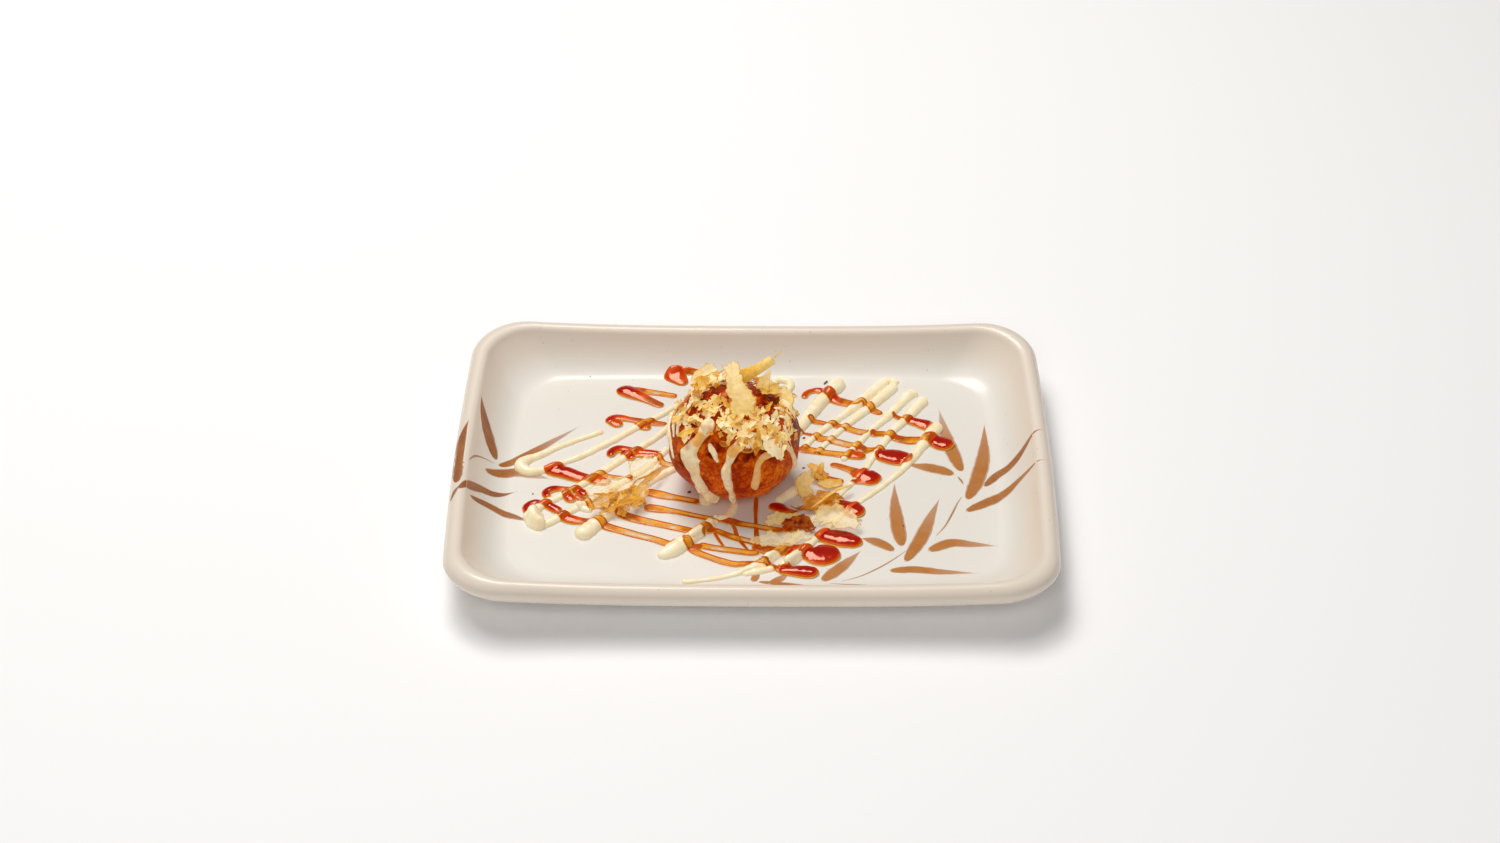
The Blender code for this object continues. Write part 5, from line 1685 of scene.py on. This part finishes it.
def make_flakes(ground, material):
    shreds = Shreds(material)
    piece = shreds.strew("shredded_flakes", ball_carrier(), 0.04, 0.80, Density=0.44e6, Seed=3,
                         Smallest=0.7, Largest=1.3, Tilt=0.6, Lift=0.0020)
    keep(piece, "flakes", "bonito_flakes_on_ball")
    for seed, (node, (centre, axes, direction, wet)) in enumerate(HEAPS.items()):
        carrier = heap_carrier(centre, axes, direction, wet, ground)
        piece = shreds.strew(node.replace("bonito", "soaked"), carrier, 0.1, 0.8, Density=0.17e6,
                             Seed=seed + 5, Smallest=0.9, Largest=1.9, Tilt=0.40, Lift=0.0014)
        keep(piece, "flakes", node)
    shreds.discard()
    for seed, (node, recipe) in enumerate(SHEETS.items()):
        vertices, faces, values = make_sheet(recipe, seed, ground)
        name = node.replace("bonito_flake", "shaving")
        keep(make_piece(name, vertices, faces, material, values), "flakes", node)
    sheets = [make_sheet(recipe, seed + 20, ground, columns=9, spacing=0.4)
              for seed, recipe in enumerate(SMALL_SHEETS)]
    vertices, faces, _ = merge((points, quads, []) for points, quads, _ in sheets)
    values = {key: [number for _, _, own in sheets for number in own[key]]
              for key in ("tone", "soak", "rim", "sheer")}
    keep(make_piece("small_shavings", vertices, faces, material, values), "flakes")


# --- specks ----------------------------------------------------------------------------------

# Dark crumbs on the plate: x, y, length, width, direction in degrees
SPECKS = [
    (-22.2, -8.8, 1.5, 1.1, 20), (26.6, 54.8, 2.6, 0.9, 60), (-77.0, -10.0, 0.9, 0.5, 80),
    (18.2, 22.0, 1.2, 0.8, 30), (18.0, 5.0, 1.0, 0.7, 10), (-9.6, 16.0, 0.8, 0.5, 0),
    (52.2, -26.4, 0.9, 0.4, 60), (-60.4, 57.6, 0.5, 0.4, 0),
]


def make_specks(ground, material):
    vertices, faces = [], []
    for seed, (x, y, length, width, direction) in enumerate(SPECKS):
        ball = bmesh.new()
        bmesh.ops.create_icosphere(ball, subdivisions=2, radius=1.0)
        turn = math.radians(direction)
        start, foot = len(vertices), ground.height(x, y)
        for vertex in ball.verts:
            shape = vertex.co * (1 + 0.25 * wander(vertex.co, 0.8, seed + 3))
            a, b = shape.x * length / 2, shape.y * width / 2
            vertices.append((x + a * math.cos(turn) - b * math.sin(turn),
                             y + a * math.sin(turn) + b * math.cos(turn),
                             foot + width * 0.2 + shape.z * width * 0.3))
        faces.extend(tuple(v.index + start for v in face.verts) for face in ball.faces)
        ball.free()
    keep(make_piece("dark_specks", vertices, faces, material), "flakes")


# --- closing ---------------------------------------------------------------------------------

FLOOR_SIZE, FLOOR_GAP = 6.0, 0.0002     # metres; the floor lies just under the plate's foot


def make_stage():
    """A plain pale floor under the plate."""
    bpy.ops.mesh.primitive_plane_add(size=FLOOR_SIZE, location=(0, 0, -FLOOR_GAP))
    floor = bpy.context.object
    floor.name = "studio_floor"
    finish = Finish("studio_floor")
    finish.colour((0.91, 0.905, 0.91, 1.0))
    finish.roughness(0.9)
    finish.shader.inputs["Emission Color"].default_value = (1.0, 1.0, 1.0, 1.0)
    finish.shader.inputs["Emission Strength"].default_value = 0.04
    floor.data.materials.append(finish.material)


def make_light(name, place, aim, size, watts, colour=(1.0, 1.0, 1.0), mirrored=False):
    """A soft box aimed at a point; only a mirrored one shows up in shiny surfaces."""
    lamp = bpy.data.lights.new(name, "AREA")
    lamp.shape = "RECTANGLE"
    lamp.size, lamp.size_y = size
    lamp.energy = watts
    lamp.color = colour
    holder = bpy.data.objects.new(name, lamp)
    holder.location = place
    holder.rotation_euler = (Vector(aim) - Vector(place)).to_track_quat("-Z", "Y").to_euler()
    holder.visible_glossy = mirrored
    bpy.context.scene.collection.objects.link(holder)


def make_lighting():
    world = bpy.data.worlds.new("studio")
    world.use_nodes = True
    background = world.node_tree.nodes["Background"]
    background.inputs["Color"].default_value = (1.0, 0.94, 0.88, 1.0)
    background.inputs["Strength"].default_value = 0.12
    bpy.context.scene.world = world
    make_light("key", (-0.31, 0.36, 1.21), (0, 0, 0), (0.80, 0.85), 10.6, (1.0, 0.985, 0.96))
    make_light("front_fill", (0.0, -1.08, 1.0), (0, 0, 0), (1.0, 0.6), 6.4)
    make_light("window", (-0.22, 0.66, 1.16), (0, 0, 0), (0.46, 0.42), 4.8, (1.0, 0.985, 0.96),
               mirrored=True)
    bpy.context.scene.view_settings.view_transform = "Standard"


SENSOR_WIDTH, LENS = 36.0, 67.03
CAMERA_PLACE, CAMERA_AIM = Vector((4.33, -762.8, 631.1)), Vector((-1.12, 20.8, 14.0))


def make_camera():
    camera = bpy.data.cameras.new("camera")
    camera.sensor_width = SENSOR_WIDTH
    camera.lens = LENS
    holder = bpy.data.objects.new("camera", camera)
    place, aim = CAMERA_PLACE * MM, CAMERA_AIM * MM
    holder.location = place
    holder.rotation_euler = (aim - place).to_track_quat("-Z", "Y").to_euler()
    bpy.context.scene.collection.objects.link(holder)
    bpy.context.scene.camera = holder


def build():
    ground = Ground()
    plate = make_plate(plate_finish())
    ground.add(plate)
    make_print(ground, print_finish())
    ball = make_ball(crust_finish())
    mayonnaise, sauce = mayonnaise_finish(), sauce_finish()
    ground.add(*make_strands(ground, mayonnaise))
    ground.add(make_daubs(ground, mayonnaise))
    ground.add(*make_sauce(ground, sauce))
    make_drips(ball, ground, mayonnaise, sauce)
    make_flakes(ground, flake_finish())
    make_specks(ground, speck_finish())


build()
make_stage()
make_lighting()
make_camera()
